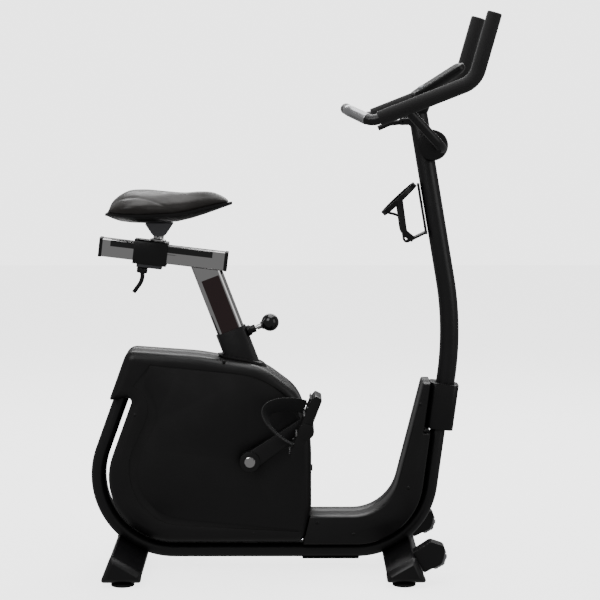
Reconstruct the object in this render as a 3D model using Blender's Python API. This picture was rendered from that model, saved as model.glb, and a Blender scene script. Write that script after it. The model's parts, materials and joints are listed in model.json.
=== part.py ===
"""Upright exercise bike: one named object for each sub-part, in metres, +Z up.

X points forward to the handlebar, Y to the rider's left, Z up.  The origin is on the floor,
in the middle of the bike.  "right" is the -Y side and "left" the +Y side.
"""
import math

import bmesh
import bpy
from mathutils import Matrix, Vector

# ---- clearances -------------------------------------------------------------------------
GAP = 0.0003            # between pieces that touch
RUN = 0.0010            # between pieces that turn or slide in one another
WALL = 0.003            # moulded covers

# ---- frame tube: one flat oval tube, bent from the seat to the mast -----------------------
TUBE_THICK = 0.034      # in the plane of the bend
TUBE_WIDE = 0.060       # across the bike
TUBE_Z = 0.038          # height of the tube's middle along the floor
REAR_LEAN = math.radians(19.9)
FRONT_LEAN = math.radians(7.5)
REAR_CORNER_X = -0.535
FRONT_CORNER_X = 0.3141
REAR_BEND = 0.181
FRONT_BEND = 0.178
REAR_TOP_Z = 0.498
RISER_TOP_Z = 0.372
MAST_FOOT_Z = 0.376

# ---- feet and stabilizers -----------------------------------------------------------------
STABILIZER_Z = 0.012
STABILIZER_HALF = 0.230
CAP_LONG = 0.022
CAP_PROUD = 0.0015
REAR_FOOT_X = -0.386
FRONT_FOOT_X = 0.262
FOOT_Y = 0.216
FOOT_RADIUS = 0.027
FOOT_HIGH = 0.008
FOOT_STEM = 0.005
FOOT_STEM_TOP = 0.030
WHEEL_X = 0.332
WHEEL_Z = 0.063
WHEEL_Y = 0.190
WHEEL_RADIUS = 0.030
WHEEL_WIDE = 0.024
WHEEL_PIN = 0.004
HOUSING_WIDE = 0.042

# ---- covers -------------------------------------------------------------------------------
SLIT = 0.010            # between the frame tube and the shroud inside its bend
SHROUD_HALF = 0.070
SHROUD_ROUND = 0.022
SHROUD_FRONT_X = 0.050
SHROUD_TOP_REAR_Z = 0.524
WRAP_Z = 0.405          # above this the shroud encloses the tube
COVER_HALF = 0.060
COVER_ROUND = 0.016
COVER_GAP = 0.0025      # between a footwell cover and the bend it stands on
FOOTWELL_Z = 0.129
SLEEVE_THICK = 0.068
SLEEVE_WIDE = 0.076
SLEEVE_LOW = 0.332
SLEEVE_HIGH = 0.440

# ---- drive --------------------------------------------------------------------------------
CRANK_X = -0.095
CRANK_Z = 0.266
CRANK_LONG = 0.160
CRANK_ANGLE = math.radians(34.6)
CRANK_Y = 0.082         # inner face of each crank arm
CRANK_THICK = 0.015
AXLE_RADIUS = 0.0085
SHELL_RADIUS = 0.021
SHELL_HALF = 0.034
BEARING_WIDE = 0.010
PEDAL_TILT = math.radians(69.0)
PEDAL_LONG = 0.160
PEDAL_WIDE = 0.095
PEDAL_THICK = 0.024
PEDAL_Y = 0.115         # inner face of each pedal
SPINDLE_RADIUS = 0.007
STRAP_HIGH = 0.085
PULLEY_RADIUS = 0.110
SMALL_RADIUS = 0.018
PULLEY_Y = 0.040
PULLEY_WIDE = 0.012
BELT_THICK = 0.003
FLYWHEEL_X = -0.283
FLYWHEEL_Z = 0.250
FLYWHEEL_RADIUS = 0.115
FLYWHEEL_HALF = 0.007
FORK_Y = 0.022
FORK_THICK = 0.004

# ---- seat ---------------------------------------------------------------------------------
POST_LEAN = math.radians(21.0)
POST_X = -0.1375        # a point on the post's axis, at POST_Z
POST_Z = 0.5555
POST_DEEP = 0.066
POST_WIDE = 0.040
POST_ROUND = 0.014
SOCKET_WALL = 0.004
SOCKET_UP = 0.012       # socket's top, along the axis from the point above
SOCKET_DOWN = 0.190
POST_DOWN = 0.130
POST_DROP = 0.110
POST_RISE = 0.060
RAIL_SLOPE = math.radians(-6.8)
RAIL_X = -0.300         # middle of the rail
RAIL_Z = 0.748
RAIL_LONG = 0.290
RAIL_HIGH = 0.044
RAIL_WIDE = 0.040
RAIL_CAP = 0.008
CARRIAGE_AT = -0.030    # along the rail from its middle
CARRIAGE_LONG = 0.080
CARRIAGE_WALL = 0.007
STEM_RADIUS = 0.0125

# ---- mast, bars and console ---------------------------------------------------------------
MAST_RADIUS = 0.0225
MAST_BEND = 1.2
MAST_TOP_Z = 1.085
BAR_RADIUS = 0.0125
FOAM_RADIUS = 0.0172
PIVOT_X = 0.3485        # axis on which the bars tilt
PIVOT_Z = 1.002
PIVOT_RADIUS = 0.011
CLAMP_RADIUS = 0.036
CLAMP_HALF = 0.032
HORN_TOP = (0.4585, 0.205, 1.305)
HORN_FOOT = (0.4165, 0.205, 1.155)
SIDE_LOW = (0.185, 0.195, 1.064)
CROSS_CORNER = (0.135, 0.150, 1.088)
ARM_TOP = (0.262, 0.1985, 1.0935)
CONSOLE_X = 0.3475
CONSOLE_Z = 1.154
CONSOLE_SLOPE = math.radians(32.5)
CONSOLE_LONG = 0.134
CONSOLE_WIDE = 0.190
CONSOLE_THICK = 0.020
LEVER_X = 0.264
LEVER_Z = 1.060

RIGHT = -1
LEFT = 1
SIDES = (("right", RIGHT), ("left", LEFT))

# ---- colours: base colour, roughness, metallic ---------------------------------------------
BLACK_PAINT = ((0.012, 0.012, 0.013), 0.42, 0.0)
BLACK_PLASTIC = ((0.014, 0.013, 0.014), 0.36, 0.0)
BLACK_RUBBER = ((0.010, 0.010, 0.010), 0.75, 0.0)
BLACK_FOAM = ((0.012, 0.012, 0.012), 0.85, 0.0)
LEATHER = ((0.018, 0.017, 0.016), 0.50, 0.0)
CHROME = ((0.62, 0.60, 0.60), 0.12, 1.0)
STEEL = ((0.45, 0.45, 0.46), 0.30, 1.0)
GREY_METAL = ((0.22, 0.22, 0.23), 0.35, 1.0)
GREY_TREAD = ((0.42, 0.42, 0.43), 0.60, 0.0)
GLASS_FACE = ((0.010, 0.011, 0.013), 0.12, 0.0)


# ---- helpers ------------------------------------------------------------------------------
def clear_scene():
    for thing in list(bpy.data.objects):
        bpy.data.objects.remove(thing)


def material(name, finish):
    colour, roughness, metallic = finish
    made = bpy.data.materials.new(name)
    made.use_nodes = True
    shader = made.node_tree.nodes["Principled BSDF"]
    shader.inputs["Base Color"].default_value = (*colour, 1.0)
    shader.inputs["Roughness"].default_value = roughness
    shader.inputs["Metallic"].default_value = metallic
    made.diffuse_color = (*colour, 1.0)
    return made


def empty(name, place):
    made = bpy.data.objects.new(name, None)
    made.location = place
    bpy.context.collection.objects.link(made)
    return made


def add(name, mesh_data, finish, origin=(0, 0, 0), parent=None):
    """Put a bmesh, made in world coordinates, in an object with the given origin."""
    mesh_data.transform(Matrix.Translation(-Vector(origin)))
    mesh = bpy.data.meshes.new(name)
    mesh_data.to_mesh(mesh)
    mesh_data.free()
    mesh.shade_smooth()
    mesh.set_sharp_from_angle(angle=math.radians(35))
    made = bpy.data.objects.new(name, mesh)
    bpy.context.collection.objects.link(made)
    made.data.materials.append(material(name, finish))
    made.location = origin
    if parent is not None:
        made.parent = parent
        made.location = Vector(origin) - parent.location
    return made


def combine(base, tool, operation):
    """Boolean of two bmeshes in world coordinates; both are used up."""
    pair = []
    for source in (base, tool):
        mesh = bpy.data.meshes.new("shape")
        source.to_mesh(mesh)
        source.free()
        shape = bpy.data.objects.new("shape", mesh)
        bpy.context.collection.objects.link(shape)
        pair.append(shape)
    modifier = pair[0].modifiers.new("boolean", "BOOLEAN")
    modifier.operation = operation
    modifier.solver = "EXACT"
    modifier.object = pair[1]
    depsgraph = bpy.context.evaluated_depsgraph_get()
    result = bmesh.new()
    result.from_object(pair[0], depsgraph)
    for shape in pair:
        bpy.data.objects.remove(shape)
    bmesh.ops.remove_doubles(result, verts=result.verts, dist=1e-6)
    bmesh.ops.dissolve_degenerate(result, edges=result.edges, dist=1e-6)
    return result


def cut(base, *tools):
    for tool in tools:
        base = combine(base, tool, "DIFFERENCE")
    return base


def union(base, *tools):
    for tool in tools:
        base = combine(base, tool, "UNION")
    return base


def rounded(points, radii, closed, step=math.radians(24)):
    """A polyline with its corners rounded; each corner's arc has as many points as its turn."""
    points = [Vector(p) for p in points]
    count = len(points)
    result = []
    for index, corner in enumerate(points):
        radius = radii[index]
        ends = not closed and index in (0, count - 1)
        if ends or radius <= 0:
            result.append(corner)
            continue
        before = points[index - 1] - corner
        after = points[(index + 1) % count] - corner
        half = before.angle(after) / 2
        turn = math.pi - 2 * half
        if turn < 1e-4:
            result.append(corner)
            continue
        reach = radius / math.tan(half)
        limit = 0.7 * min(before.length, after.length)
        if reach > limit:
            radius *= limit / reach
            reach = limit
        middle = corner + (before.normalized() + after.normalized()).normalized() * (
            radius / math.sin(half))
        start = corner + before.normalized() * reach - middle
        finish = corner + after.normalized() * reach - middle
        steps = max(2, math.ceil(turn / step - 0.01))
        for number in range(steps + 1):
            share = number / steps
            spread = math.sin(turn)
            point = (start * math.sin((1 - share) * turn) + finish * math.sin(share * turn))
            result.append(middle + point / spread)
    return result


def inset_outline(corners, inset, step=math.radians(20)):
    """A clockwise outline of (x, z, radius) corners, moved inwards and then rounded."""
    count = len(corners)
    flat = [Vector((x, z)) for x, z, _ in corners]
    moved = []
    radii = []
    for index in range(count):
        before = (flat[index] - flat[index - 1]).normalized()
        after = (flat[(index + 1) % count] - flat[index]).normalized()
        inward_before = Vector((before.y, -before.x))
        inward_after = Vector((after.y, -after.x))
        blend = inward_before + inward_after
        moved.append(flat[index] + blend * (inset / (blend.dot(inward_before))))
        convex = before.x * after.y - before.y * after.x < 0
        radius = corners[index][2]
        radii.append(max(radius - inset, 0.001) if convex else radius + inset)
    turns = rounded([(p.x, p.y, 0) for p in moved], radii, True, step)
    return [(p.x, p.y) for p in turns]


def loft(rings, close_start=True, close_end=True):
    """Join rings of equal point counts with quads, and fill the two ends."""
    made = bmesh.new()
    loops = [[made.verts.new(point) for point in ring] for ring in rings]
    for first, second in zip(loops, loops[1:]):
        for index in range(len(first)):
            nxt = (index + 1) % len(first)
            made.faces.new((first[index], first[nxt], second[nxt], second[index]))
    if close_start:
        made.faces.new(list(reversed(loops[0])))
    if close_end:
        made.faces.new(loops[-1])
    bmesh.ops.recalc_face_normals(made, faces=made.faces)
    return made


def prism(outline, low, high):
    """Extrude an outline in X and Z from one Y to another."""
    return loft([[(x, y, z) for x, z in outline] for y in (low, high)])


def frames(path, side):
    """Tangent, side and up vectors along a path, with the section kept from twisting."""
    result = []
    side = Vector(side)
    previous = None
    for index in range(len(path)):
        before = path[max(index - 1, 0)]
        after = path[min(index + 1, len(path) - 1)]
        tangent = (after - before).normalized()
        if previous is not None:
            side = previous.rotation_difference(tangent) @ side
        side = (side - tangent * side.dot(tangent)).normalized()
        previous = tangent
        result.append((tangent, side, tangent.cross(side)))
    return result


def sweep(path, section, side=(0, 1, 0)):
    """Carry a section of (across, up) points along a path of points."""
    path = [Vector(p) for p in path]
    rings = []
    for place, (_, across, up) in zip(path, frames(path, side)):
        rings.append([place + across * u + up * v for u, v in section])
    return loft(rings)


def circle(radius, sides=12):
    turn = 2 * math.pi / sides
    return [(radius * math.cos(k * turn), radius * math.sin(k * turn)) for k in range(sides)]


def round_box(wide, high, radius, step=math.radians(45)):
    """A rectangle with round corners, as section points."""
    w = wide / 2
    h = high / 2
    corners = [(-w, h, 0), (w, h, 0), (w, -h, 0), (-w, -h, 0)]
    return [(p.x, p.y) for p in rounded(corners, [radius] * 4, True, step)]


def oval(grow=0.0):
    """The frame tube's section: across the bike, then in the plane of the bend."""
    thick = TUBE_THICK + 2 * grow
    return round_box(TUBE_WIDE + 2 * grow, thick, thick / 2 - 0.001)


def rod(start, end, radius, sides=14):
    start = Vector(start)
    end = Vector(end)
    side = (0, 1, 0) if abs((end - start).normalized().y) < 0.9 else (1, 0, 0)
    return sweep([start, end], circle(radius, sides), side)


def turned(profile, centre, axis=(0, 1, 0), sides=20):
    """Turn a closed profile of (radius, along) points about an axis; on the axis it closes."""
    made = bmesh.new()
    lined = Vector((0, 0, 1)).rotation_difference(Vector(axis)).to_matrix().to_4x4()
    place = Matrix.Translation(centre) @ lined
    rings = []
    for radius, along in profile:
        if radius < 1e-7:
            rings.append([made.verts.new(place @ Vector((0, 0, along)))])
            continue
        turn = 2 * math.pi / sides
        rings.append([made.verts.new(place @ Vector((
            radius * math.cos(k * turn), radius * math.sin(k * turn), along)))
            for k in range(sides)])
    open_ended = len(rings[0]) == 1
    pairs = list(zip(rings, rings[1:]))
    if not open_ended:
        pairs.append((rings[-1], rings[0]))
    for first, second in pairs:
        for k in range(sides):
            nxt = (k + 1) % sides
            loop = [first[k % len(first)], first[nxt % len(first)],
                    second[nxt % len(second)], second[k % len(second)]]
            made.faces.new(list(dict.fromkeys(loop)))
    bmesh.ops.recalc_face_normals(made, faces=made.faces)
    return made


def disc(centre, radius, half, axis=(0, 1, 0), edge=0.001, hole=0.0, sides=20):
    """A flat disc with broken edges, with a bore if hole is set."""
    outer = [(radius - edge, -half), (radius, edge - half), (radius, half - edge),
             (radius - edge, half)]
    if hole:
        profile = [(hole, -half)] + outer + [(hole, half)]
    else:
        profile = [(0, -half)] + outer + [(0, half)]
    return turned(profile, centre, axis, sides)


def box(centre, size, tilt=0.0, edge=0.0):
    """A box turned about Y; edge rounds its four edges along Y."""
    turned_points = []
    for u, v in round_box(size[0], size[2], edge):
        x = centre[0] + u * math.cos(tilt) - v * math.sin(tilt)
        z = centre[2] + u * math.sin(tilt) + v * math.cos(tilt)
        turned_points.append((x, z))
    return prism(turned_points, centre[1] - size[1] / 2, centre[1] + size[1] / 2)


# ---- places worked out from the sizes above -------------------------------------------------
REAR_UP = Vector((math.sin(REAR_LEAN), 0, math.cos(REAR_LEAN)))
FRONT_UP = Vector((math.sin(FRONT_LEAN), 0, math.cos(FRONT_LEAN)))
POST_UP = Vector((-math.sin(POST_LEAN), 0, math.cos(POST_LEAN)))
POST_AT = Vector((POST_X, 0, POST_Z))
RAIL_ALONG = Vector((math.cos(RAIL_SLOPE), 0, math.sin(RAIL_SLOPE)))
RAIL_UP = Vector((-math.sin(RAIL_SLOPE), 0, math.cos(RAIL_SLOPE)))
RAIL_AT = Vector((RAIL_X, 0, RAIL_Z))
CRANK_AT = Vector((CRANK_X, 0, CRANK_Z))
FLYWHEEL_AT = Vector((FLYWHEEL_X, 0, FLYWHEEL_Z))
PIVOT_AT = Vector((PIVOT_X, 0, PIVOT_Z))
TUBE_HALF = TUBE_THICK / 2


def rear_line(z, offset=0.0):
    """X of a line along the rear of the tube; a positive offset lies inside its bend."""
    return REAR_CORNER_X + (z - TUBE_Z) * math.tan(REAR_LEAN) + offset / math.cos(REAR_LEAN)


def riser_line(z, offset=0.0):
    """X of a line along the riser under the mast; a positive offset lies in front of it."""
    return FRONT_CORNER_X + (z - TUBE_Z) * math.tan(FRONT_LEAN) + offset / math.cos(FRONT_LEAN)


def tube_path(rear_z, riser_z):
    corners = [
        (rear_line(rear_z), 0, rear_z),
        (REAR_CORNER_X, 0, TUBE_Z),
        (FRONT_CORNER_X, 0, TUBE_Z),
        (riser_line(riser_z), 0, riser_z),
    ]
    return rounded(corners, [0, REAR_BEND, FRONT_BEND, 0], False, math.radians(10))


def tube_solid(grow=0.0, extra=0.0):
    return sweep(tube_path(REAR_TOP_Z + extra, RISER_TOP_Z + extra), oval(grow))


def frame_tube():
    add("frame_tube", tube_solid(), BLACK_PAINT)


# ---- stabilizers, feet and transport wheels ---------------------------------------------------
def arc_height(x, bend, centre_x):
    """Underside of a bend of the tube above a place on the floor."""
    outer = bend + TUBE_HALF
    return TUBE_Z + bend - math.sqrt(outer ** 2 - (x - centre_x) ** 2)


REAR_BEND_X = REAR_CORNER_X + REAR_BEND * math.tan((math.pi / 2 + REAR_LEAN) / 2)
FRONT_BEND_X = FRONT_CORNER_X - FRONT_BEND * math.tan((math.pi / 2 - FRONT_LEAN) / 2)


def foot_outline(front, grow=0.0):
    """The wedge section of a stabilizer, whose top follows the bend of the tube."""
    if front:
        near_x = FRONT_FOOT_X - 0.041
        far_x = FRONT_FOOT_X + 0.024
        toe_x = FRONT_FOOT_X + 0.050
        near_z = arc_height(near_x, FRONT_BEND, FRONT_BEND_X)
        far_z = arc_height(far_x, FRONT_BEND, FRONT_BEND_X)
        corners = [(near_x, near_z, 0.003), (far_x, far_z, 0.006), (toe_x, STABILIZER_Z, 0.004),
                   (near_x + 0.003, STABILIZER_Z, 0.004)]
    else:
        near_x = REAR_FOOT_X + 0.044
        far_x = REAR_FOOT_X - 0.025
        toe_x = REAR_FOOT_X - 0.049
        near_z = arc_height(near_x, REAR_BEND, REAR_BEND_X)
        far_z = arc_height(far_x, REAR_BEND, REAR_BEND_X)
        corners = [(far_x, far_z, 0.006), (near_x, near_z, 0.003),
                   (near_x - 0.003, STABILIZER_Z, 0.004), (toe_x, STABILIZER_Z, 0.004)]
    return inset_outline(corners, -grow, math.radians(30))


def stabilizer(name, front):
    foot_x = FRONT_FOOT_X if front else REAR_FOOT_X
    bar = prism(foot_outline(front), -STABILIZER_HALF, STABILIZER_HALF)
    bar = cut(bar, tube_solid(GAP))
    for _, side in SIDES:
        place = Vector((foot_x, side * FOOT_Y, 0))
        low = place + Vector((0, 0, STABILIZER_Z - 0.01))
        high = place + Vector((0, 0, FOOT_STEM_TOP + 2 * RUN))
        bar = cut(bar, rod(low, high, FOOT_STEM + RUN))
    add(name, bar, BLACK_PAINT)


def end_cap(name, front, side):
    rings = []
    steps = ((GAP, CAP_PROUD), (0.006, CAP_PROUD), (0.016, -0.004), (CAP_LONG, -0.010))
    for out, grow in steps:
        y = side * (STABILIZER_HALF + out)
        rings.append([(x, y, z) for x, z in foot_outline(front, grow)])
    add(name, loft(rings), BLACK_PLASTIC)


def levelling_foot(name, foot_x, side):
    place = Vector((foot_x, side * FOOT_Y, 0))
    profile = [(0, 0), (FOOT_RADIUS - 0.002, 0), (FOOT_RADIUS, 0.002), (FOOT_RADIUS, 0.005),
               (FOOT_RADIUS - 0.005, FOOT_HIGH), (FOOT_STEM, FOOT_HIGH),
               (FOOT_STEM, FOOT_STEM_TOP), (0, FOOT_STEM_TOP)]
    add(name, turned(profile, place, (0, 0, 1), 16), BLACK_RUBBER, place)


def transport_wheel(name, side):
    centre = Vector((WHEEL_X, side * WHEEL_Y, WHEEL_Z))
    half = WHEEL_WIDE / 2
    profile = [(WHEEL_PIN + RUN, -half), (WHEEL_RADIUS - 0.008, -half + 0.001),
               (WHEEL_RADIUS - 0.003, -half), (WHEEL_RADIUS, -half + 0.004),
               (WHEEL_RADIUS, half - 0.004), (WHEEL_RADIUS - 0.003, half),
               (WHEEL_RADIUS - 0.008, half - 0.001), (WHEEL_PIN + RUN, half)]
    add(name, turned(profile, centre), GREY_TREAD, centre)


def wheel_housing(name, side):
    """A cover on the stabilizer's front, with a well for the wheel and the wheel's pin."""
    centre_y = side * WHEEL_Y
    low = centre_y - HOUSING_WIDE / 2
    high = centre_y + HOUSING_WIDE / 2
    corners = [(WHEEL_X - 0.049, WHEEL_Z + 0.011, 0.004), (WHEEL_X - 0.009, WHEEL_Z + 0.037, 0.010),
               (WHEEL_X + 0.027, WHEEL_Z + 0.025, 0.012), (WHEEL_X + 0.017, WHEEL_Z - 0.015, 0.008),
               (WHEEL_X - 0.024, WHEEL_Z - 0.036, 0.004)]
    body = prism(inset_outline(corners, 0.0, math.radians(20)), low, high)
    bar = prism(foot_outline(True, GAP), low - 0.01, high + 0.01)
    well = disc((WHEEL_X, centre_y, WHEEL_Z), WHEEL_RADIUS + 2 * RUN, WHEEL_WIDE / 2 + RUN)
    body = cut(body, bar, well, tube_solid(GAP))
    pin = rod((WHEEL_X, low + 0.002, WHEEL_Z), (WHEEL_X, high - 0.002, WHEEL_Z), WHEEL_PIN, 10)
    body = union(body, pin)
    add(name, body, BLACK_PLASTIC)


def feet():
    stabilizer("front_stabilizer", True)
    stabilizer("rear_stabilizer", False)
    for word, side in SIDES:
        end_cap("end_cap_front_" + word, True, side)
        end_cap("end_cap_rear_" + word, False, side)
        levelling_foot("foot_front_" + word, FRONT_FOOT_X, side)
        levelling_foot("foot_rear_" + word, REAR_FOOT_X, side)
        wheel_housing("wheel_housing_" + word, side)
        transport_wheel("transport_wheel_" + word, side)


# ---- covers -----------------------------------------------------------------------------------
SHROUD_BOTTOM = TUBE_Z + TUBE_HALF + SLIT
SLIT_OFFSET = TUBE_HALF + SLIT
WRAP_OFFSET = -(TUBE_HALF + 2.5 * WALL)


def shroud_corners():
    inner = rear_line(WRAP_Z + 0.008, SLIT_OFFSET)
    hip_x = rear_line(SHROUD_BOTTOM, SLIT_OFFSET)
    return [
        (rear_line(SHROUD_TOP_REAR_Z, WRAP_OFFSET), SHROUD_TOP_REAR_Z, 0.026),
        (-0.219, SHROUD_TOP_REAR_Z - 0.012, 0.400),
        (-0.066, SHROUD_TOP_REAR_Z - 0.037, 0.150),
        (SHROUD_FRONT_X - 0.027, SHROUD_TOP_REAR_Z - 0.104, 0.100),
        (SHROUD_FRONT_X, 0.300, 0.200),
        (SHROUD_FRONT_X, 0.142, 0.120),
        (SHROUD_FRONT_X - 0.018, SHROUD_BOTTOM, 0.026),
        (hip_x, SHROUD_BOTTOM, REAR_BEND - SLIT_OFFSET),
        (inner, WRAP_Z + 0.008, 0.010),
        (rear_line(WRAP_Z, WRAP_OFFSET), WRAP_Z, 0.004),
    ]


def socket_solid(grow=0.0, down=SOCKET_DOWN, up=SOCKET_UP):
    wall = 2 * (SOCKET_WALL + grow)
    section = round_box(POST_WIDE + wall, POST_DEEP + wall, POST_ROUND + SOCKET_WALL + grow)
    return sweep([POST_AT - POST_UP * down, POST_AT + POST_UP * up], section)


def half_shell(corners, side, half, edge, wall):
    """One moulded half of a cover, open at the middle plane."""
    outer = []
    inner = []
    bends = 2
    outer.append((GAP / 2, 0.0))
    inner.append((GAP / 2, wall))
    for number in range(bends + 1):
        turn = math.pi / 2 * number / bends
        drop = edge * (1 - math.cos(turn))
        out = half - edge + edge * math.sin(turn)
        outer.append((out, drop))
        inner.append((out - wall, wall + drop))
    rings = []
    for out, inset in reversed(inner):
        rings.append([(x, side * out, z) for x, z in inset_outline(corners, inset)])
    for out, inset in outer:
        rings.append([(x, side * out, z) for x, z in inset_outline(corners, inset)])
    return loft(rings)


def shroud_half(name, side):
    shell = half_shell(shroud_corners(), side, SHROUD_HALF, SHROUD_ROUND, WALL)
    hole_z = WRAP_Z + 0.03
    tube_hole = sweep([(rear_line(hole_z - 0.08), 0, hole_z - 0.08),
                       (rear_line(hole_z), 0, hole_z)], oval(RUN))
    axle_hole = rod((CRANK_X, side * (SHROUD_HALF - 0.02), CRANK_Z),
                    (CRANK_X, side * (SHROUD_HALF + 0.02), CRANK_Z), AXLE_RADIUS + 2 * RUN)
    keel_hole = keel_solid(SHROUD_BOTTOM - 0.02, RUN)
    shell = cut(shell, tube_hole, socket_solid(RUN, 0.12, 0.02), axle_hole, keel_hole)
    if side == RIGHT:
        shell = cut(shell, jack_solid(GAP))
    add(name, shell, BLACK_PLASTIC)


def jack_solid(grow=0.0):
    """The round power inlet in the front of the right half."""
    start = Vector((SHROUD_FRONT_X - 0.010, -0.030, 0.240))
    return rod(start, start + Vector((0.013, 0, 0)), 0.008 + grow, 20)


def power_jack():
    jack = jack_solid()
    socket = rod((SHROUD_FRONT_X - 0.005, -0.030, 0.240), (SHROUD_FRONT_X + 0.01, -0.030, 0.240),
                 0.004, 16)
    jack = cut(jack, socket)
    add("power_jack", jack, BLACK_PLASTIC)


def cover_corners():
    low = TUBE_Z + TUBE_HALF + COVER_GAP
    step_z = SLEEVE_LOW - 0.004
    back = SHROUD_FRONT_X - 0.020
    inside = -(TUBE_HALF + COVER_GAP)
    behind = riser_line(step_z, -SLEEVE_THICK / 2 - RUN)
    top_z = SLEEVE_HIGH + 0.007
    return [
        (back, FOOTWELL_Z, 0.001),
        (riser_line(FOOTWELL_Z, -0.092), FOOTWELL_Z, 0.110),
        (riser_line(top_z, -SLEEVE_THICK / 2 - 0.020), top_z, 0.006),
        (riser_line(top_z, -SLEEVE_THICK / 2 - RUN), top_z, 0.002),
        (behind, step_z, 0.001),
        (riser_line(step_z, inside), step_z, 0.001),
        (riser_line(low, inside), low, FRONT_BEND - TUBE_HALF - COVER_GAP),
        (back, low, 0.001),
    ]


def cover_half(name, side):
    """A thick-walled moulding that fills the corner between shroud and riser."""
    rings = []
    for out, inset in ((GAP / 2, 0.0), (COVER_HALF - COVER_ROUND, 0.0),
                       (COVER_HALF - COVER_ROUND * 0.5, COVER_ROUND * 0.08),
                       (COVER_HALF - COVER_ROUND * 0.13, COVER_ROUND * 0.20),
                       (COVER_HALF, COVER_ROUND * 0.34)):
        outline = inset_outline(cover_corners(), inset, math.radians(12))
        rings.append([(x, side * out, z) for x, z in outline])
    solid = loft(rings)
    nose = prism(inset_outline(shroud_corners(), -GAP), -SHROUD_HALF, SHROUD_HALF)
    solid = cut(solid, nose, sleeve_block(GAP))
    add(name, solid, BLACK_PLASTIC)


def sleeve_block(grow=0.0):
    low = SLEEVE_LOW - grow
    high = SLEEVE_HIGH + grow
    section = round_box(SLEEVE_WIDE + 2 * grow, SLEEVE_THICK + 2 * grow, 0.016)
    return sweep([(riser_line(low), 0, low), (riser_line(high), 0, high)], section)


def mast_sleeve():
    block = cut(sleeve_block(), tube_solid(GAP, 0.002), mast_solid(GAP, 0.004))
    add("mast_sleeve", block, BLACK_PLASTIC)


def post_collar():
    """A wedge on the shroud's top, round the seat socket."""
    plate = socket_solid(0.011, 0.11, 0.03)
    top = prism(inset_outline(shroud_corners(), -0.007), -0.06, 0.06)
    under = prism(inset_outline(shroud_corners(), -GAP), -0.08, 0.08)
    plate = combine(plate, top, "INTERSECT")
    plate = cut(plate, under, socket_solid(GAP, 0.12, 0.05))
    add("post_collar", plate, BLACK_PLASTIC)


def covers():
    for word, side in SIDES:
        shroud_half("shroud_" + word, side)
        cover_half("footwell_cover_" + word, side)
    mast_sleeve()
    post_collar()
    power_jack()


# ---- inner frame and drive ----------------------------------------------------------------------
PLUNGER_PIN = 0.004
PLUNGER_DIR = Vector((math.cos(POST_LEAN), 0, math.sin(POST_LEAN)))
PLUNGER_AT = POST_AT - POST_UP * 0.005


def keel_solid(low, grow=0.0):
    """The post between the bottom-bracket shell and the frame tube."""
    return sweep([Vector((CRANK_X, 0, CRANK_Z - SHELL_RADIUS + 0.004)), Vector((CRANK_X, 0, low))],
                 round_box(0.040 + 2 * grow, 0.034 + 2 * grow, 0))


def inner_frame():
    """Seat socket, bottom-bracket shell, struts to the tube and forks for the flywheel."""
    shell = rod((CRANK_X, -SHELL_HALF, CRANK_Z), (CRANK_X, SHELL_HALF, CRANK_Z), SHELL_RADIUS, 20)
    socket_low = POST_AT - POST_UP * SOCKET_DOWN
    link = SOCKET_WALL + POST_DEEP / 2
    rail_dir = Vector((math.cos(POST_LEAN), 0, math.sin(POST_LEAN)))
    strut_top = socket_low + POST_UP * 0.03 - rail_dir * (link + 0.004)
    strut = sweep([strut_top, CRANK_AT], round_box(0.030, 0.014, 0))
    floor_top = TUBE_Z + TUBE_HALF + GAP
    keel = keel_solid(floor_top)
    back_z = REAR_TOP_Z - 0.036
    back_wall = POST_AT - POST_UP * (POST_Z - back_z) - rail_dir * (link - 0.002)
    spine = sweep([back_wall, Vector((rear_line(back_z), 0, back_z))],
                  round_box(0.036, 0.030, 0))
    frame = union(shell, socket_solid(), strut, keel, spine)
    for _, side in SIDES:
        fork_y = side * FORK_Y
        start = (CRANK_X - 0.012, fork_y, CRANK_Z - 0.004)
        fork = sweep([start, (FLYWHEEL_X - 0.014, fork_y, FLYWHEEL_Z)],
                     round_box(FORK_THICK, 0.028, 0))
        frame = union(frame, fork)
    bore = sweep([POST_AT - POST_UP * (SOCKET_DOWN + 0.01), POST_AT + POST_UP * 0.04],
                 round_box(POST_WIDE + 2 * RUN, POST_DEEP + 2 * RUN, POST_ROUND + RUN))
    seat = SHELL_RADIUS - 0.006
    shell_bore = rod((CRANK_X, -0.06, CRANK_Z), (CRANK_X, 0.06, CRANK_Z), seat, 20)
    axle_bore = rod((FLYWHEEL_X, -0.06, FLYWHEEL_Z), (FLYWHEEL_X, 0.06, FLYWHEEL_Z),
                    AXLE_RADIUS - 0.002 + RUN / 2, 20)
    pin_bore = rod(plunger_point(0.01), plunger_point(-0.02), PLUNGER_PIN + RUN, 16)
    frame = cut(frame, bore, shell_bore, axle_bore, pin_bore, tube_solid(GAP))
    add("inner_frame", frame, BLACK_PAINT)


def plunger_point(out):
    """A point on the plunger's axis; 0 is the socket's front face."""
    return PLUNGER_AT + PLUNGER_DIR * (POST_DEEP / 2 + SOCKET_WALL + out)


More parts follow.
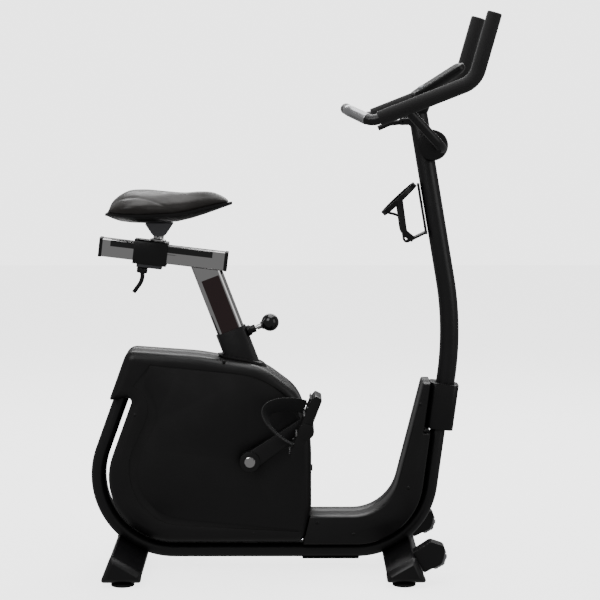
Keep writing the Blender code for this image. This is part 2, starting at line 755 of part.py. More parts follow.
def plunger(parent=None):
    housing = turned([(PLUNGER_PIN + RUN, GAP), (0.013, GAP), (0.013, 0.007), (0.0095, 0.009),
                      (0.0095, 0.020), (PLUNGER_PIN + RUN, 0.020)],
                     plunger_point(0.0), PLUNGER_DIR, 16)
    add("plunger_housing", housing, GREY_METAL)
    ball = 0.021
    middle = 0.057
    profile = [(0, -0.004), (PLUNGER_PIN, -0.004), (PLUNGER_PIN, 0.024), (0.007, 0.024),
               (0.008, middle - math.sqrt(ball ** 2 - 0.008 ** 2))]
    turns = 7
    first = math.asin(0.008 / ball)
    for number in range(1, turns + 1):
        angle = first + (math.pi - first) * number / turns
        profile.append((ball * math.sin(angle), middle - ball * math.cos(angle)))
    profile[-1] = (0, middle + ball)
    knob = turned(profile, plunger_point(0.0), PLUNGER_DIR, 18)
    add("plunger_knob", knob, BLACK_PLASTIC, plunger_point(0.0))


def belt_outline(gap, drive, driven):
    """The outline of a belt round two pulleys: an arc on each and the straight runs."""
    span = FLYWHEEL_AT - CRANK_AT
    heading = math.atan2(span.z, span.x)
    lean = math.acos((drive - driven) / span.length)
    points = []
    for centre, radius, start, end in (
            (CRANK_AT, drive + gap, heading + lean, heading + 2 * math.pi - lean),
            (FLYWHEEL_AT, driven + gap, heading - lean, heading + lean)):
        steps = max(8, round((end - start) / math.radians(11)))
        for number in range(steps + 1):
            angle = start + (end - start) * number / steps
            points.append((centre.x + radius * math.cos(angle),
                           centre.z + radius * math.sin(angle)))
    return points


def drive():
    axle_end = CRANK_Y + CRANK_THICK * 0.6
    profile = [(0, -axle_end), (AXLE_RADIUS, -axle_end), (AXLE_RADIUS, axle_end), (0, axle_end)]
    crank = empty("crank_centre", CRANK_AT)
    add("crank_axle", turned(profile, CRANK_AT), STEEL, CRANK_AT, crank)
    for word, side in SIDES:
        centre = CRANK_AT + Vector((0, side * (SHELL_HALF - BEARING_WIDE / 2), 0))
        ring = disc(centre, SHELL_RADIUS - 0.006 - GAP, BEARING_WIDE / 2,
                    hole=AXLE_RADIUS + RUN / 2, edge=0.0008)
        add("bearing_" + word, ring, STEEL, centre)
    pulley_at = CRANK_AT + Vector((0, PULLEY_Y + PULLEY_WIDE / 2, 0))
    pulley = disc(pulley_at, PULLEY_RADIUS, PULLEY_WIDE / 2, hole=AXLE_RADIUS + RUN / 2, sides=32)
    for number in range(5):
        angle = 2 * math.pi * number / 5
        hole_at = pulley_at + Vector((0.062 * math.cos(angle), 0, 0.062 * math.sin(angle)))
        reach = Vector((0, PULLEY_WIDE, 0))
        pulley = cut(pulley, rod(hole_at - reach, hole_at + reach, 0.024, 10))
    add("drive_pulley", pulley, BLACK_PLASTIC, CRANK_AT, crank)
    outer = prism(belt_outline(RUN + BELT_THICK, PULLEY_RADIUS, SMALL_RADIUS),
                  PULLEY_Y + 0.001, PULLEY_Y + PULLEY_WIDE - 0.001)
    inner = prism(belt_outline(RUN, PULLEY_RADIUS, SMALL_RADIUS),
                  PULLEY_Y - 0.01, PULLEY_Y + PULLEY_WIDE + 0.01)
    add("drive_belt", cut(outer, inner), BLACK_RUBBER)
    half = FLYWHEEL_HALF
    hub = 0.016
    radius = AXLE_RADIUS - 0.002
    bore = radius + GAP
    gap_in = FORK_Y - FORK_THICK / 2 - RUN
    flywheel = [(bore, -gap_in), (hub, -gap_in), (hub, -half), (FLYWHEEL_RADIUS - 0.001, -half),
                (FLYWHEEL_RADIUS, -half + 0.001), (FLYWHEEL_RADIUS, half - 0.001),
                (FLYWHEEL_RADIUS - 0.001, half), (hub, half), (hub, gap_in), (bore, gap_in)]
    add("flywheel", turned(flywheel, FLYWHEEL_AT, sides=32), STEEL, FLYWHEEL_AT)
    near_end = -(FORK_Y + FORK_THICK / 2 + 0.008)
    collar = PULLEY_Y - 0.010
    far_end = PULLEY_Y + PULLEY_WIDE
    axle = [(0, near_end), (radius, near_end), (radius, collar), (0.012, collar),
            (0.012, PULLEY_Y), (SMALL_RADIUS, PULLEY_Y), (SMALL_RADIUS, far_end),
            (radius, far_end), (radius, far_end + 0.004), (0, far_end + 0.004)]
    add("flywheel_axle", turned(axle, FLYWHEEL_AT), STEEL, FLYWHEEL_AT)


BRAKE_AT = Vector((FLYWHEEL_X + 0.085, 0, FLYWHEEL_Z - 0.110))


def brake():
    """A forked magnet arm over the rim, pivoted in front, and the box that pulls it."""
    reach = FLYWHEEL_RADIUS - 0.012
    outline = []
    start = math.radians(-100)
    end = math.radians(-52)
    steps = 6
    for radius, order in ((FLYWHEEL_RADIUS + 0.016, 1), (reach, -1)):
        for number in range(steps + 1):
            share = number / steps if order > 0 else 1 - number / steps
            angle = start + (end - start) * share
            outline.append((FLYWHEEL_X + radius * math.cos(angle),
                            FLYWHEEL_Z + radius * math.sin(angle)))
    arm = prism(outline, -0.018, 0.018)
    boss = rod((BRAKE_AT.x, -0.018, BRAKE_AT.z), (BRAKE_AT.x, 0.018, BRAKE_AT.z), 0.011, 20)
    pivot = rod((BRAKE_AT.x, -0.03, BRAKE_AT.z), (BRAKE_AT.x, 0.03, BRAKE_AT.z), 0.004, 16)
    room = turned([(0, -0.011), (FLYWHEEL_RADIUS + 0.003, -0.011),
                   (FLYWHEEL_RADIUS + 0.003, 0.011), (0, 0.011)], FLYWHEEL_AT, sides=40)
    arm = cut(union(arm, boss), room, pivot)
    add("magnet_arm", arm, GREY_METAL, BRAKE_AT)
    servo = box((BRAKE_AT.x + 0.048, 0, BRAKE_AT.z - 0.012), (0.060, 0.050, 0.030), edge=0.003)
    lug = box((BRAKE_AT.x + 0.008, -0.023, BRAKE_AT.z), (0.044, 0.006, 0.016), edge=0.003)
    pin = rod((BRAKE_AT.x, -0.024, BRAKE_AT.z), (BRAKE_AT.x, 0.020, BRAKE_AT.z), 0.004 - GAP, 16)
    servo = union(servo, lug, pin)
    servo = cut(servo, tube_solid(GAP))
    add("brake_servo", servo, BLACK_PLASTIC)


# ---- cranks and pedals -----------------------------------------------------------------------
def crank_tip(side):
    """The right crank points forward and up, and the left one the other way."""
    turn = Vector((math.cos(CRANK_ANGLE), 0, math.sin(CRANK_ANGLE))) * CRANK_LONG
    return CRANK_AT + (turn if side == RIGHT else -turn)


def crank_arm(name, side, parent):
    tip = crank_tip(side)
    low = CRANK_Y
    high = CRANK_Y + CRANK_THICK
    along = (tip - CRANK_AT).normalized()
    across = Vector((-along.z, 0, along.x))
    outline = []
    for centre, radius, start in ((CRANK_AT, 0.021, 90), (tip, 0.015, -90)):
        for number in range(9):
            angle = math.radians(start + 22.5 * number)
            point = centre + along * radius * math.cos(angle) + across * radius * math.sin(angle)
            outline.append((point.x, point.z))
    arm = prism(outline, side * low, side * high)
    boss_low = side * (SHROUD_HALF + 2 * RUN)
    boss = rod((CRANK_X, boss_low, CRANK_Z), (CRANK_X, side * (high + 0.004), CRANK_Z), 0.024, 20)
    bore = rod((CRANK_X, side * 0.05, CRANK_Z),
               (CRANK_X, side * (low + CRANK_THICK * 0.6 + GAP), CRANK_Z), AXLE_RADIUS + RUN / 2, 20)
    spindle = rod((tip.x, side * (low + 0.004), tip.z),
                  (tip.x, side * (PEDAL_Y + PEDAL_WIDE - 0.012), tip.z), SPINDLE_RADIUS, 12)
    arm = cut(union(arm, boss, spindle), bore)
    add(name, arm, BLACK_PAINT, CRANK_AT, parent)


def pedal(name, side, parent):
    """A platform with a tread on the foot side and a barrel round the spindle."""
    tip = crank_tip(side)
    tilt = PEDAL_TILT
    along = Vector((math.cos(tilt), 0, math.sin(tilt)))
    up = Vector((-math.sin(tilt), 0, math.cos(tilt)))
    centre = tip + along * 0.004 + up * 0.004
    plate = prism(pedal_outline(centre, along, up), side * PEDAL_Y, side * (PEDAL_Y + PEDAL_WIDE))
    barrel = rod((tip.x, side * (PEDAL_Y - 0.006), tip.z),
                 (tip.x, side * (PEDAL_Y + PEDAL_WIDE + 0.003), tip.z), 0.018, 16)
    body = union(plate, barrel)
    for number in (-1, 1):
        slot_at = centre + along * (0.043 * number)
        slot = box((slot_at.x, side * (PEDAL_Y + PEDAL_WIDE / 2), slot_at.z),
                   (0.034, PEDAL_WIDE - 0.028, 0.08), tilt, 0.006)
        body = cut(body, slot)
    bore = rod((tip.x, side * (PEDAL_Y - 0.03), tip.z),
               (tip.x, side * (PEDAL_Y + PEDAL_WIDE - 0.012 + RUN), tip.z),
               SPINDLE_RADIUS + RUN / 2, 12)
    body = cut(body, bore)
    add(name, body, BLACK_PLASTIC, tip, parent)


def pedal_outline(centre, along, up, grow=0.0):
    half = PEDAL_LONG / 2 + grow
    thick = PEDAL_THICK / 2 + grow
    corners = [(-half, thick - 0.006, 0.005), (-half + 0.02, thick, 0.02), (half - 0.02, thick, 0.02),
               (half, thick - 0.006, 0.005), (half - 0.002, -thick, 0.005),
               (-half + 0.002, -thick, 0.005)]
    return [(centre.x + along.x * u + up.x * v, centre.z + along.z * u + up.z * v)
            for u, v in inset_outline(corners, 0.0, math.radians(30))]


def strap(name, side, parent):
    """A band that arches over the shoe from one edge of the pedal to the other."""
    tip = crank_tip(side)
    along = Vector((math.cos(PEDAL_TILT), 0, math.sin(PEDAL_TILT)))
    up = Vector((-math.sin(PEDAL_TILT), 0, math.cos(PEDAL_TILT)))
    base = tip + along * 0.012 + up * (0.008 + PEDAL_THICK / 2 + GAP)
    low = side * (PEDAL_Y + 0.006)
    high = side * (PEDAL_Y + PEDAL_WIDE - 0.006)
    points = []
    steps = 16
    for number in range(steps + 1):
        share = number / steps
        lift = math.sin(math.pi * share) ** 0.6 * STRAP_HIGH
        y = low + (high - low) * share
        points.append(base + up * (0.0015 + lift) + Vector((0, y, 0)))
    section = [(-0.014, -0.0012), (0.014, -0.0012), (0.014, 0.0012), (-0.014, 0.0012)]
    band = sweep(points, section, along)
    add(name, band, BLACK_RUBBER, tip, parent)


def cranks():
    centre = bpy.data.objects["crank_centre"]
    for word, side in SIDES:
        crank_arm("crank_" + word, side, centre)
        hub = empty("pedal_centre_" + word, crank_tip(side))
        pedal("pedal_" + word, side, hub)
        strap("strap_" + word, side, hub)


# ---- seat ----------------------------------------------------------------------------------------
def rail_point(along, up=0.0, y=0.0):
    return RAIL_AT + RAIL_ALONG * along + RAIL_UP * up + Vector((0, y, 0))


def rail_section(grow=0.0):
    """An upper band, a step, and a narrower lower band: (across, up) points."""
    half = RAIL_WIDE / 2 + grow
    top = RAIL_HIGH / 2 + grow
    step = 0.0015
    corners = [(-half, top, 0.004), (half, top, 0.004), (half, 0.002 - grow, 0.001),
               (half - step, -grow, 0.001), (half - step, -top, 0.004), (-half + step, -top, 0.004),
               (-half + step, -grow, 0.001), (-half, 0.002 - grow, 0.001)]
    return inset_outline(corners, 0.0, math.radians(30))


def rail_solid(start, end, grow=0.0):
    return sweep([rail_point(start), rail_point(end)], rail_section(grow))


def seat_post():
    top = POST_AT + POST_UP * 0.24
    low = POST_AT - POST_UP * (POST_DOWN)
    post = sweep([low, top], round_box(POST_WIDE, POST_DEEP, POST_ROUND))
    above = rail_point(0, -RAIL_HIGH / 2 - GAP + 0.1)
    post = cut(post, box((above.x, 0, above.z), (0.4, 0.2, 0.2), RAIL_SLOPE))
    for number in range(5):
        hole = POST_AT + POST_UP * (0.055 + 0.022 * number)
        post = cut(post, rod(hole + PLUNGER_DIR * 0.018, hole + PLUNGER_DIR * 0.05, 0.0045, 12))
    room = plunger_point(-0.014)
    post = cut(post, rod(room, plunger_point(0.01), PLUNGER_PIN + RUN, 16))
    add("seat_post", post, CHROME, POST_AT)


def rail():
    half = RAIL_LONG / 2
    add("seat_rail", rail_solid(-half, half), CHROME, RAIL_AT)
    for word, sign in (("rear", -1), ("front", 1)):
        near = sign * (half + GAP)
        far = sign * (half + RAIL_CAP)
        start, end = sorted((near, far))
        cap = rail_solid(start, end, 0.0012)
        add("rail_cap_" + word, cap, BLACK_PLASTIC, rail_point(sign * half))


CARRIAGE_TOP = RAIL_HIGH / 2 + CARRIAGE_WALL
STEM_AT = CARRIAGE_AT + 0.014
TILT_AT = rail_point(STEM_AT, CARRIAGE_TOP + 0.028)
LEVER_AT = CARRIAGE_AT - 0.016
CLAMP_BLOCK = 0.014


def carriage():
    section = round_box(RAIL_WIDE + 2 * CARRIAGE_WALL, RAIL_HIGH + 2 * CARRIAGE_WALL, 0.006)
    start = CARRIAGE_AT - CARRIAGE_LONG / 2
    end = CARRIAGE_AT + CARRIAGE_LONG / 2
    block = sweep([rail_point(start), rail_point(end)], section)
    block = cut(block, rail_solid(start - 0.02, end + 0.02, 0.0008))
    under = sweep([rail_point(start - 0.02, -RAIL_HIGH / 2 - 0.02),
                   rail_point(end + 0.02, -RAIL_HIGH / 2 - 0.02)], round_box(RAIL_WIDE, 0.05, 0))
    block = cut(block, under)
    origin = rail_point(CARRIAGE_AT)
    add("seat_carriage", block, BLACK_PLASTIC, origin)
    low = -RAIL_HIGH / 2 - 0.0008
    plate = sweep([rail_point(CARRIAGE_AT - 0.030, low - CLAMP_BLOCK / 2),
                   rail_point(CARRIAGE_AT + 0.030, low - CLAMP_BLOCK / 2)],
                  round_box(RAIL_WIDE - 2 * RUN, CLAMP_BLOCK, 0.003))
    add("carriage_clamp", plate, GREY_METAL, origin)
    stem = turned([(0, CARRIAGE_TOP + GAP), (0.019, CARRIAGE_TOP + GAP),
                   (0.019, CARRIAGE_TOP + 0.004), (STEM_RADIUS, CARRIAGE_TOP + 0.006),
                   (STEM_RADIUS, CARRIAGE_TOP + 0.020), (0, CARRIAGE_TOP + 0.020)],
                  rail_point(STEM_AT), RAIL_UP, 16)
    eye = rod(TILT_AT + Vector((0, -0.012, 0)), TILT_AT + Vector((0, 0.012, 0)), 0.013, 16)
    stem = union(stem, eye)
    add("saddle_stem", stem, CHROME, origin)


def clamp_lever():
    """A lever under the carriage, on the axis of its clamping screw."""
    low = -RAIL_HIGH / 2 - 0.0008 - CLAMP_BLOCK
    boss = turned([(0, low - GAP), (0.011, low - GAP), (0.013, low - 0.003), (0.012, low - 0.014),
                   (0, low - 0.014)], rail_point(LEVER_AT), RAIL_UP, 20)
    top = rail_point(LEVER_AT, low - 0.008)
    path = rounded([top, top + Vector((0.002, 0, -0.022)), top + Vector((-0.020, 0, -0.052))],
                   [0, 0.05, 0], False)
    grip = sweep(path, round_box(0.018, 0.010, 0.0045))
    add("clamp_lever", union(boss, grip), BLACK_PLASTIC, rail_point(LEVER_AT, low))


def curve_value(knots, x):
    """Smooth value between (x, value) knots."""
    for index in range(len(knots) - 1):
        x0, v0 = knots[index]
        x1, v1 = knots[index + 1]
        if x <= x1:
            before = knots[max(index - 1, 0)]
            after = knots[min(index + 2, len(knots) - 1)]
            slope0 = (v1 - before[1]) / (x1 - before[0])
            slope1 = (after[1] - v0) / (after[0] - x0)
            t = (x - x0) / (x1 - x0)
            span = x1 - x0
            return ((2 * t ** 3 - 3 * t ** 2 + 1) * v0 + (t ** 3 - 2 * t ** 2 + t) * span * slope0
                    + (3 * t ** 2 - 2 * t ** 3) * v1 + (t ** 3 - t ** 2) * span * slope1)
    return knots[-1][1]


SADDLE_REAR_X = -0.432
SADDLE_NOSE_X = -0.137
SADDLE_HALF = [(-0.432, 0.070), (-0.420, 0.098), (-0.385, 0.121), (-0.345, 0.120),
               (-0.300, 0.094), (-0.260, 0.062), (-0.220, 0.043), (-0.170, 0.033),
               (-0.145, 0.024), (-0.137, 0.010)]
SADDLE_TOP = [(-0.432, 0.850), (-0.421, 0.872), (-0.390, 0.893), (-0.350, 0.899),
              (-0.300, 0.895), (-0.250, 0.8915), (-0.213, 0.894), (-0.177, 0.892),
              (-0.147, 0.881), (-0.137, 0.868)]
SADDLE_UNDER = [(-0.432, 0.842), (-0.402, 0.829), (-0.355, 0.8235), (-0.308, 0.8235),
                (-0.261, 0.826), (-0.201, 0.843), (-0.154, 0.860), (-0.137, 0.866)]
PAN_DEEP = 0.006
EDGE_LIFT = 0.014


def saddle_ring(x, low, high, half, lift):
    """A cross-section: flat below, round at the sides, crowned on top."""
    points = []
    steps = 16
    for number in range(steps):
        angle = 2 * math.pi * number / steps
        across = math.copysign(abs(math.cos(angle)) ** 0.75, math.cos(angle))
        up = math.copysign(abs(math.sin(angle)) ** 0.85, math.sin(angle))
        middle = (low + high) / 2
        z = middle + up * (high - low) / 2
        points.append((x, across * half, z - lift * across * across * (up > 0) * up))
    return points


def saddle_stations(count=13):
    """Places along the saddle, closer together at its two ends."""
    long = SADDLE_NOSE_X - SADDLE_REAR_X
    return [SADDLE_REAR_X + long * (0.5 - 0.5 * math.cos(math.pi * number / count))
            for number in range(count + 1)]


def saddle_section(x):
    low = curve_value(SADDLE_UNDER, x) + PAN_DEEP
    high = max(curve_value(SADDLE_TOP, x), low + 0.002)
    half = curve_value(SADDLE_HALF, x)
    lift = min(EDGE_LIFT * half / 0.12, 0.3 * (high - low))
    return saddle_ring(x, low, high, half, lift)


def saddle():
    rings = []
    for x in saddle_stations():
        ring = saddle_section(x)
        half = len(ring) // 2
        under = ring[half + 1:]
        top = [(px, py, pz - 2 * GAP) for px, py, pz in under]
        low = [(px, py * 0.97, pz - 2 * GAP - PAN_DEEP) for px, py, pz in reversed(under)]
        rings.append(top + low)
    add("saddle_pad", loft([saddle_section(x) for x in saddle_stations()]), LEATHER, TILT_AT)
    add("saddle_pan", loft(rings), BLACK_PLASTIC, TILT_AT)
    half = 0.034
    stations = [TILT_AT.x - half + half * number / 4 for number in range(9)]
    top = min(curve_value(SADDLE_UNDER, x) for x in stations) - RUN
    corners = [(TILT_AT.x - half, top, 0.002), (TILT_AT.x + half, top, 0.002),
               (TILT_AT.x + 0.014, TILT_AT.z - 0.015, 0.010),
               (TILT_AT.x - 0.014, TILT_AT.z - 0.015, 0.010)]
    block = prism(inset_outline(corners, 0.0, math.radians(20)), -0.022, 0.022)
    room = rod(TILT_AT + Vector((0, -0.0135, 0)), TILT_AT + Vector((0, 0.0135, 0)), 0.0150, 16)
    stem_room = box((TILT_AT.x, 0, TILT_AT.z - 0.02), (0.05, 0.0280, 0.042), RAIL_SLOPE)
    block = cut(block, room, stem_room)
    add("saddle_clamp", block, GREY_METAL, TILT_AT)


def seat():
    seat_post()
    rail()
    carriage()
    clamp_lever()
    saddle()
    plunger()


# ---- mast, bars and console ------------------------------------------------------------------------
def mast_path(extra=0.0):
    low = MAST_FOOT_Z - extra
    top = Vector((0.2995, 0, MAST_TOP_Z))
    middle = Vector((0.3895, 0, 0.560))
    top += (top - middle).normalized() * extra
    corners = [(riser_line(low), 0, low), middle, top]
    return rounded(corners, [0, MAST_BEND, 0], False, math.radians(2.5))


def mast_solid(grow=0.0, extra=0.0):
    return sweep(mast_path(extra), circle(MAST_RADIUS + grow, 16))


def mast_middle(z):
    """X of the mast's middle at a height."""
    path = mast_path()
    for first, second in zip(path, path[1:]):
        if first.z <= z <= second.z:
            return first.x + (second.x - first.x) * (z - first.z) / (second.z - first.z)
    return path[-1].x


def lever_lugs():
    """Two ears behind the mast that hold the clamp lever's pin."""
    lugs = []
    for _, side in SIDES:
        start = Vector((mast_middle(LEVER_Z) - 0.006, side * 0.0125, LEVER_Z))
        lugs.append(sweep([start, Vector((LEVER_X - 0.006, side * 0.0125, LEVER_Z))],
                          round_box(0.005, 0.016, 0.002)))
    pin = rod((LEVER_X, -0.015, LEVER_Z), (LEVER_X, 0.015, LEVER_Z), 0.003, 12)
    return lugs + [pin]


def mast():
    body = union(mast_solid(), *lever_lugs())
    add("mast", body, BLACK_PAINT)


def bar_path():
    side = [Vector(HORN_TOP), Vector(HORN_FOOT), Vector(SIDE_LOW), Vector(CROSS_CORNER)]
    right = [Vector((p.x, -p.y, p.z)) for p in side]
    points = right + list(reversed(side))
    radii = [0, 0.055, 0.035, 0.042, 0.042, 0.035, 0.055, 0]
    return rounded(points, radii, False, math.radians(20))


def arm_path():
    reach = 0.172
    return [Vector((ARM_TOP[0], -ARM_TOP[1], ARM_TOP[2])), Vector((PIVOT_X, -reach, PIVOT_Z)),
            Vector((PIVOT_X, reach, PIVOT_Z)), Vector(ARM_TOP)]


def arms_solid(grow=0.0):
    path = rounded(arm_path(), [0, 0.045, 0.045, 0], False, math.radians(16))
    return sweep(path, circle(PIVOT_RADIUS + grow, 10), (1, 0, 0))


def handlebar(parent):
    bar = sweep(bar_path(), circle(BAR_RADIUS, 10), (1, 0, 0))
    bar = union(bar, arms_solid())
    add("handlebar", bar, BLACK_PAINT, PIVOT_AT, parent)


def grip(name, side, parent):
    """Foam over one horn and one side bar, closed at the horn's tip."""
    path = bar_path()
    if side == LEFT:
        path = list(reversed(path))
    last = next(i for i, p in enumerate(path) if p.x < SIDE_LOW[0] + 0.022)
    path = path[:last + 1]
    first = path[0] + (path[0] - path[1]).normalized() * 0.004
    outer = [first] + path
    body = sweep(outer, circle(FOAM_RADIUS, 10), (1, 0, 0))
    after = path[-1] + (path[-1] - path[-2]).normalized() * 0.02
    tip = path[0] + (path[0] - path[1]).normalized() * GAP
    room = sweep([tip] + path[1:] + [after], circle(BAR_RADIUS + 0.0005, 10), (1, 0, 0))
    body = cut(body, room, arms_solid(0.0006))
    add(name, body, BLACK_FOAM, PIVOT_AT, parent)


def bar_clamp():
    centre = (PIVOT_X - 0.014, 0, PIVOT_Z + 0.003)
    drum = disc(centre, CLAMP_RADIUS, CLAMP_HALF, edge=0.004, sides=24)
    tube = rod((PIVOT_X, -0.1, PIVOT_Z), (PIVOT_X, 0.1, PIVOT_Z), PIVOT_RADIUS + RUN / 2, 14)
    add("bar_clamp", cut(drum, mast_solid(GAP), tube), BLACK_PLASTIC)


def clamp_knob():
    """The hand lever under the bars that locks their tilt."""
    boss = rod((LEVER_X, -0.0095, LEVER_Z), (LEVER_X, 0.0095, LEVER_Z), 0.0085, 20)
    path = rounded([Vector((LEVER_X, 0, LEVER_Z - 0.001)), Vector((LEVER_X - 0.030, 0, LEVER_Z - 0.004)),
                    Vector((0.207, 0, LEVER_Z - 0.016))], [0, 0.03, 0], False)
    arm = sweep(path, round_box(0.019, 0.012, 0.005))
    bore = rod((LEVER_X, -0.02, LEVER_Z), (LEVER_X, 0.02, LEVER_Z), 0.003 + RUN / 2, 12)
    add("clamp_knob", cut(union(boss, arm), bore), BLACK_PLASTIC, (LEVER_X, 0, LEVER_Z))


def console():
    slope = CONSOLE_SLOPE
    centre = Vector((CONSOLE_X, 0, CONSOLE_Z))
    along = Vector((math.cos(slope), 0, math.sin(slope)))
    up = Vector((-math.sin(slope), 0, math.cos(slope)))
    rings = []
    for level, inset in ((-0.5, 0.010), (-0.3, 0.003), (-0.1, 0.0), (0.35, 0.0), (0.5, 0.003)):
        half_long = CONSOLE_LONG / 2 - inset
        half_wide = CONSOLE_WIDE / 2 - inset
        corners = [(-half_wide, half_long, 0.018), (half_wide, half_long, 0.018),
                   (half_wide * 0.9, -half_long, 0.018), (-half_wide * 0.9, -half_long, 0.018)]
        ring = inset_outline(corners, 0.0, math.radians(15))
        rings.append([centre + Vector((0, u, 0)) + along * v + up * (CONSOLE_THICK * level)
                      for u, v in ring])
    case = loft(rings)
    neck_low = MAST_TOP_Z - 0.004
    neck = loft([
        [Vector((mast_middle(MAST_TOP_Z) + u, v, neck_low)) for u, v in round_box(0.046, 0.050, 0.012)],
        [centre - along * 0.028 - up * 0.002 + along * u * 1.3 + Vector((0, v * 1.3, 0))
         for u, v in round_box(0.046, 0.050, 0.012)]])
    case = union(case, neck)
    pocket_rings = []
    face_rings = []
    for rings_list, inset, low, high in ((pocket_rings, 0.007, 0.40, 0.7),
                                         (face_rings, 0.007 + GAP, 0.40 + GAP / CONSOLE_THICK, 0.52)):
        half_long = CONSOLE_LONG / 2 - inset
        half_wide = CONSOLE_WIDE / 2 - inset
        corners = [(-half_wide, half_long, 0.014), (half_wide, half_long, 0.014),
                   (half_wide * 0.9, -half_long, 0.014), (-half_wide * 0.9, -half_long, 0.014)]
        ring = inset_outline(corners, 0.0, math.radians(15))
        for level in (low, high):
            rings_list.append([centre + Vector((0, u, 0)) + along * v + up * (CONSOLE_THICK * level)
                               for u, v in ring])
    case = cut(case, loft(pocket_rings), mast_solid(GAP, GAP))
    add("console_case", case, BLACK_PLASTIC)
    add("console_face", loft(face_rings), GLASS_FACE)


def bottle_cage():
    """A plate on the mast's rear, a hoop, a shelf and a rising front strap."""
    def back(z, out):
        return Vector((mast_middle(z) - MAST_RADIUS - out, 0, z))
    plate = sweep([back(0.795, 0.0045), back(0.915, 0.0045)], round_box(0.026, 0.005, 0))
    hoop_centre = Vector((0.257, 0, 0.878))
    to_mast = Vector((0.036, 0, 0.034))
    loop = []
    turns = 18
    for number in range(turns):
        angle = 2 * math.pi * number / turns
        loop.append(hoop_centre + to_mast * math.cos(angle) + Vector((0, 0.038 * math.sin(angle), 0)))
    rings = []
    normal = to_mast.cross(Vector((0, 1, 0))).normalized()
    for point in loop:
        out = (point - hoop_centre).normalized()
        rings.append([point + out * u + normal * v for u, v in round_box(0.005, 0.012, 0)])
    hoop = loft(rings + [rings[0]], False, False)
    bmesh.ops.remove_doubles(hoop, verts=hoop.verts, dist=1e-6)
    bmesh.ops.recalc_face_normals(hoop, faces=hoop.faces)
    shelf = sweep([back(0.800, 0.004), Vector((0.277, 0, 0.778))], round_box(0.040, 0.005, 0))
    front = sweep(rounded([Vector((0.281, 0, 0.779)), Vector((0.270, 0, 0.776)),
                           Vector((0.262, 0, 0.838)), Vector((0.2265, 0, 0.847))],
                          [0, 0.006, 0.02, 0], False), round_box(0.030, 0.005, 0))
    arms = []
    for _, side in SIDES:
        arms.append(sweep(rounded([Vector((0.290, side * 0.016, 0.783)),
                                   Vector((0.268, side * 0.036, 0.800)),
                                   Vector((0.257, side * 0.038, 0.878))], [0, 0.02, 0], False),
                          round_box(0.005, 0.014, 0), (0, 1, 0)))
    cage = union(plate, hoop, shelf, front, *arms)
    cage = cut(cage, mast_solid(GAP))
    add("bottle_cage", cage, BLACK_PLASTIC)


def bars():
    centre = empty("bar_pivot", PIVOT_AT)
    handlebar(centre)
    for word, side in SIDES:
        grip("grip_" + word, side, centre)
    bar_clamp()
    clamp_knob()
    console()
    bottle_cage()


def main():
    clear_scene()
    frame_tube()
    feet()
    covers()
    inner_frame()
    drive()
    brake()
    cranks()
    seat()
    mast()
    bars()


main()
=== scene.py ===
"""Upright exercise bike: the finished surfaces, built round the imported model."""
import json
import math

import bmesh
import bpy
from bpy.props import FloatProperty, FloatVectorProperty, IntProperty, PointerProperty
from mathutils import Matrix, Vector

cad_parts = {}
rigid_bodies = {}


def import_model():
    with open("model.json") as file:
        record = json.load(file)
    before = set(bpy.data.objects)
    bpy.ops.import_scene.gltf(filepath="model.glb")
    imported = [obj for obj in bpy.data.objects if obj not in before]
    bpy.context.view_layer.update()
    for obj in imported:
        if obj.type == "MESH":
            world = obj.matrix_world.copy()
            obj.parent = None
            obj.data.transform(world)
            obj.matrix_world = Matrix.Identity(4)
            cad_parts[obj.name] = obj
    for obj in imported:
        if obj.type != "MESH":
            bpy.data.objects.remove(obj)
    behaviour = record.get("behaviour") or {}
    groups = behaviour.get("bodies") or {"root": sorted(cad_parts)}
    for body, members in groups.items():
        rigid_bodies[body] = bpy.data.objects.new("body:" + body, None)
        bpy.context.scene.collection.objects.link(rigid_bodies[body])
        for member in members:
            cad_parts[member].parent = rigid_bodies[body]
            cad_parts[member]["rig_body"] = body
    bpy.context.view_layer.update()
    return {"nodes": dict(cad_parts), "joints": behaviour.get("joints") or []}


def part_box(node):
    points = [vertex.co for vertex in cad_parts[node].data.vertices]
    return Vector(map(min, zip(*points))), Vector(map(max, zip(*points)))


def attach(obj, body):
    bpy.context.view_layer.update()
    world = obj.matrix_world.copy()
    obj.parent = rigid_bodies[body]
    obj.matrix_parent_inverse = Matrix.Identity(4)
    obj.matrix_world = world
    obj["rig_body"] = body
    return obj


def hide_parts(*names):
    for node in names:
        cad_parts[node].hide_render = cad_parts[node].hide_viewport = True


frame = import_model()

bl_info = {
    "name": "Exercise Bike Finisher",
    "version": (1, 0, 0),
    "blender": (4, 5, 0),
    "location": "View3D > Sidebar > Bike",
    "description": "Builds the finished surfaces of an upright exercise bike",
    "category": "Object",
}

JOINTS = {joint["name"]: joint for joint in frame["joints"]}
SIDES = (("right", -1), ("left", 1))
MM = 0.001
GAP = 0.0003


def joint_place(name):
    return Vector(JOINTS[name]["pos_m"])


WORLD_LIGHT = 0.22      # what the surroundings cast on the bike
WORLD_SEEN = 3.2        # how bright they look behind it
FLOOR_GLOW = 2.7        # brings the paper floor up to the same white


def linear(text):
    """An sRGB hex colour as linear red, green, blue and alpha."""
    parts = [int(text[k:k + 2], 16) / 255 for k in (1, 3, 5)]
    return [p / 12.92 if p <= 0.04045 else ((p + 0.055) / 1.055) ** 2.4 for p in parts] + [1.0]


